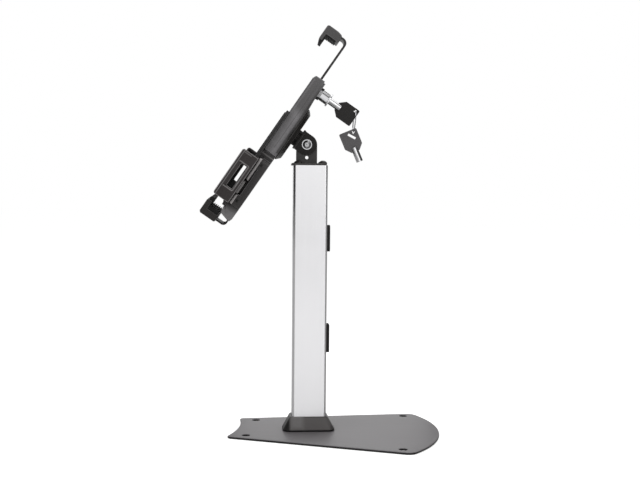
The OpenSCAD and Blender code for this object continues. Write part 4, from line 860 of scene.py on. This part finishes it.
# Curved wings beside the object that only reflections see, as in a product studio, so that bright
# metal gets its darker bands at the sides: inner and outer border as (radius, height), and glow
wingArcs = {"left": (-152, -10), "right": (44, 150)}  # degrees from +X towards +Y
wingSteps = 30
wings = {
    "leftWingFoot": ("left", (0.03, 0.0015), (0.27, 0.0015), 0.38),
    "leftWingLow": ("left", (0.27, 0.0015), (0.27, 0.22), 0.38),
    "leftWingMiddle": ("left", (0.27, 0.22), (0.27, 0.27), 0.2),
    "leftWingHigh": ("left", (0.27, 0.27), (0.27, 0.62), 0.08),
    "rightWingFoot": ("right", (0.03, 0.0015), (0.3, 0.0015), 0.26),
    "rightWing": ("right", (0.3, 0.0015), (0.3, 0.305), 0.26),
    "rightWingHigh": ("right", (0.3, 0.305), (0.3, 0.62), 0.06),
}
overheadStrip = dict(centre=(0.35, 0.0, 1.0), size=(1.2, 0.3), faces=(-0.45, 0, -0.9), glow=0.05)


def glowMaterial(name, strength):
    material, tree = bareMaterial(name)
    glow = addNode(tree, "ShaderNodeEmission", {"Strength": strength})
    feed(tree, tree.nodes["Material Output"], {"Surface": glow.outputs[0]})
    return material


def placeReflected(mesh, name):
    obj = placed(mesh, name)
    for kind in ("camera", "diffuse", "shadow", "transmission", "volume_scatter"):
        setattr(obj, "visible_" + kind, False)


def buildWings():
    for name, (arc, inner, outer, glow) in wings.items():
        start, end = wingArcs[arc]
        angles = [math.radians(start + (end - start) * k / wingSteps)
                  for k in range(wingSteps + 1)]
        points = [(radius * math.cos(angle), radius * math.sin(angle), z)
                  for radius, z in (inner, outer) for angle in angles]
        row = len(angles)
        mesh = bpy.data.meshes.new(name)
        mesh.from_pydata(points, [], [(k, k + 1, k + 1 + row, k + row) for k in range(row - 1)])
        mesh.materials.append(glowMaterial(name, glow))
        placeReflected(mesh, name)
    glow = glowMaterial("overheadStrip", overheadStrip["glow"])
    strip = sheetMesh("overheadStrip", *overheadStrip["size"], glow)
    turn = Vector(overheadStrip["faces"]).to_track_quat("Z", "Y").to_matrix().to_4x4()
    strip.transform(Matrix.Translation(overheadStrip["centre"]) @ turn)
    placeReflected(strip, "overheadStrip")


lamps = {
    "keySoftbox": dict(at=(1.3, -1.1, 1.7), size=1.6, power=15),
    "fillSoftbox": dict(at=(1.4, 1.3, 1.0), size=1.6, power=6),
    "topSoftbox": dict(at=(-0.2, 0.1, 2.1), size=1.8, power=12),
}
aimPoint = Vector((0, 0, 0.25))


def placeLamps():
    for name, lamp in lamps.items():
        data = bpy.data.lights.new(name, "AREA")
        data.size = lamp["size"]
        data.energy = lamp["power"]
        obj = bpy.data.objects.new(name, data)
        bpy.context.scene.collection.objects.link(obj)
        obj.location = lamp["at"]
        obj.rotation_euler = (aimPoint - obj.location).to_track_quat("-Z", "Y").to_euler()


# The photo's camera, fitted to the mast and the foot plate: metres, degrees and millimetres
view = dict(place=(1.1547, 0.1068, 0.2713), heading=4.68, down=2.2, roll=0.47, lens=55.55,
            sensor=36)


def placeCamera():
    heading, down, roll = (math.radians(view[k]) for k in ("heading", "down", "roll"))
    level = math.cos(down)
    ahead = Vector((-math.cos(heading) * level, -math.sin(heading) * level, -math.sin(down)))
    right = ahead.cross(Vector((0, 0, 1))).normalized()
    up = right.cross(ahead)
    across = right * math.cos(roll) + up * math.sin(roll)
    upward = up * math.cos(roll) - right * math.sin(roll)
    data = bpy.data.cameras.new("photoCamera")
    data.lens = view["lens"]
    data.sensor_width = view["sensor"]
    camera = bpy.data.objects.new("photoCamera", data)
    bpy.context.scene.collection.objects.link(camera)
    turn = Matrix((across, upward, -ahead)).transposed().to_4x4()
    camera.matrix_world = Matrix.Translation(view["place"]) @ turn
    bpy.context.scene.camera = camera


buildFloor()
buildWorld()
buildWings()
placeLamps()
placeCamera()
bpy.context.scene.view_settings.view_transform = "Standard"
print("studio ready")
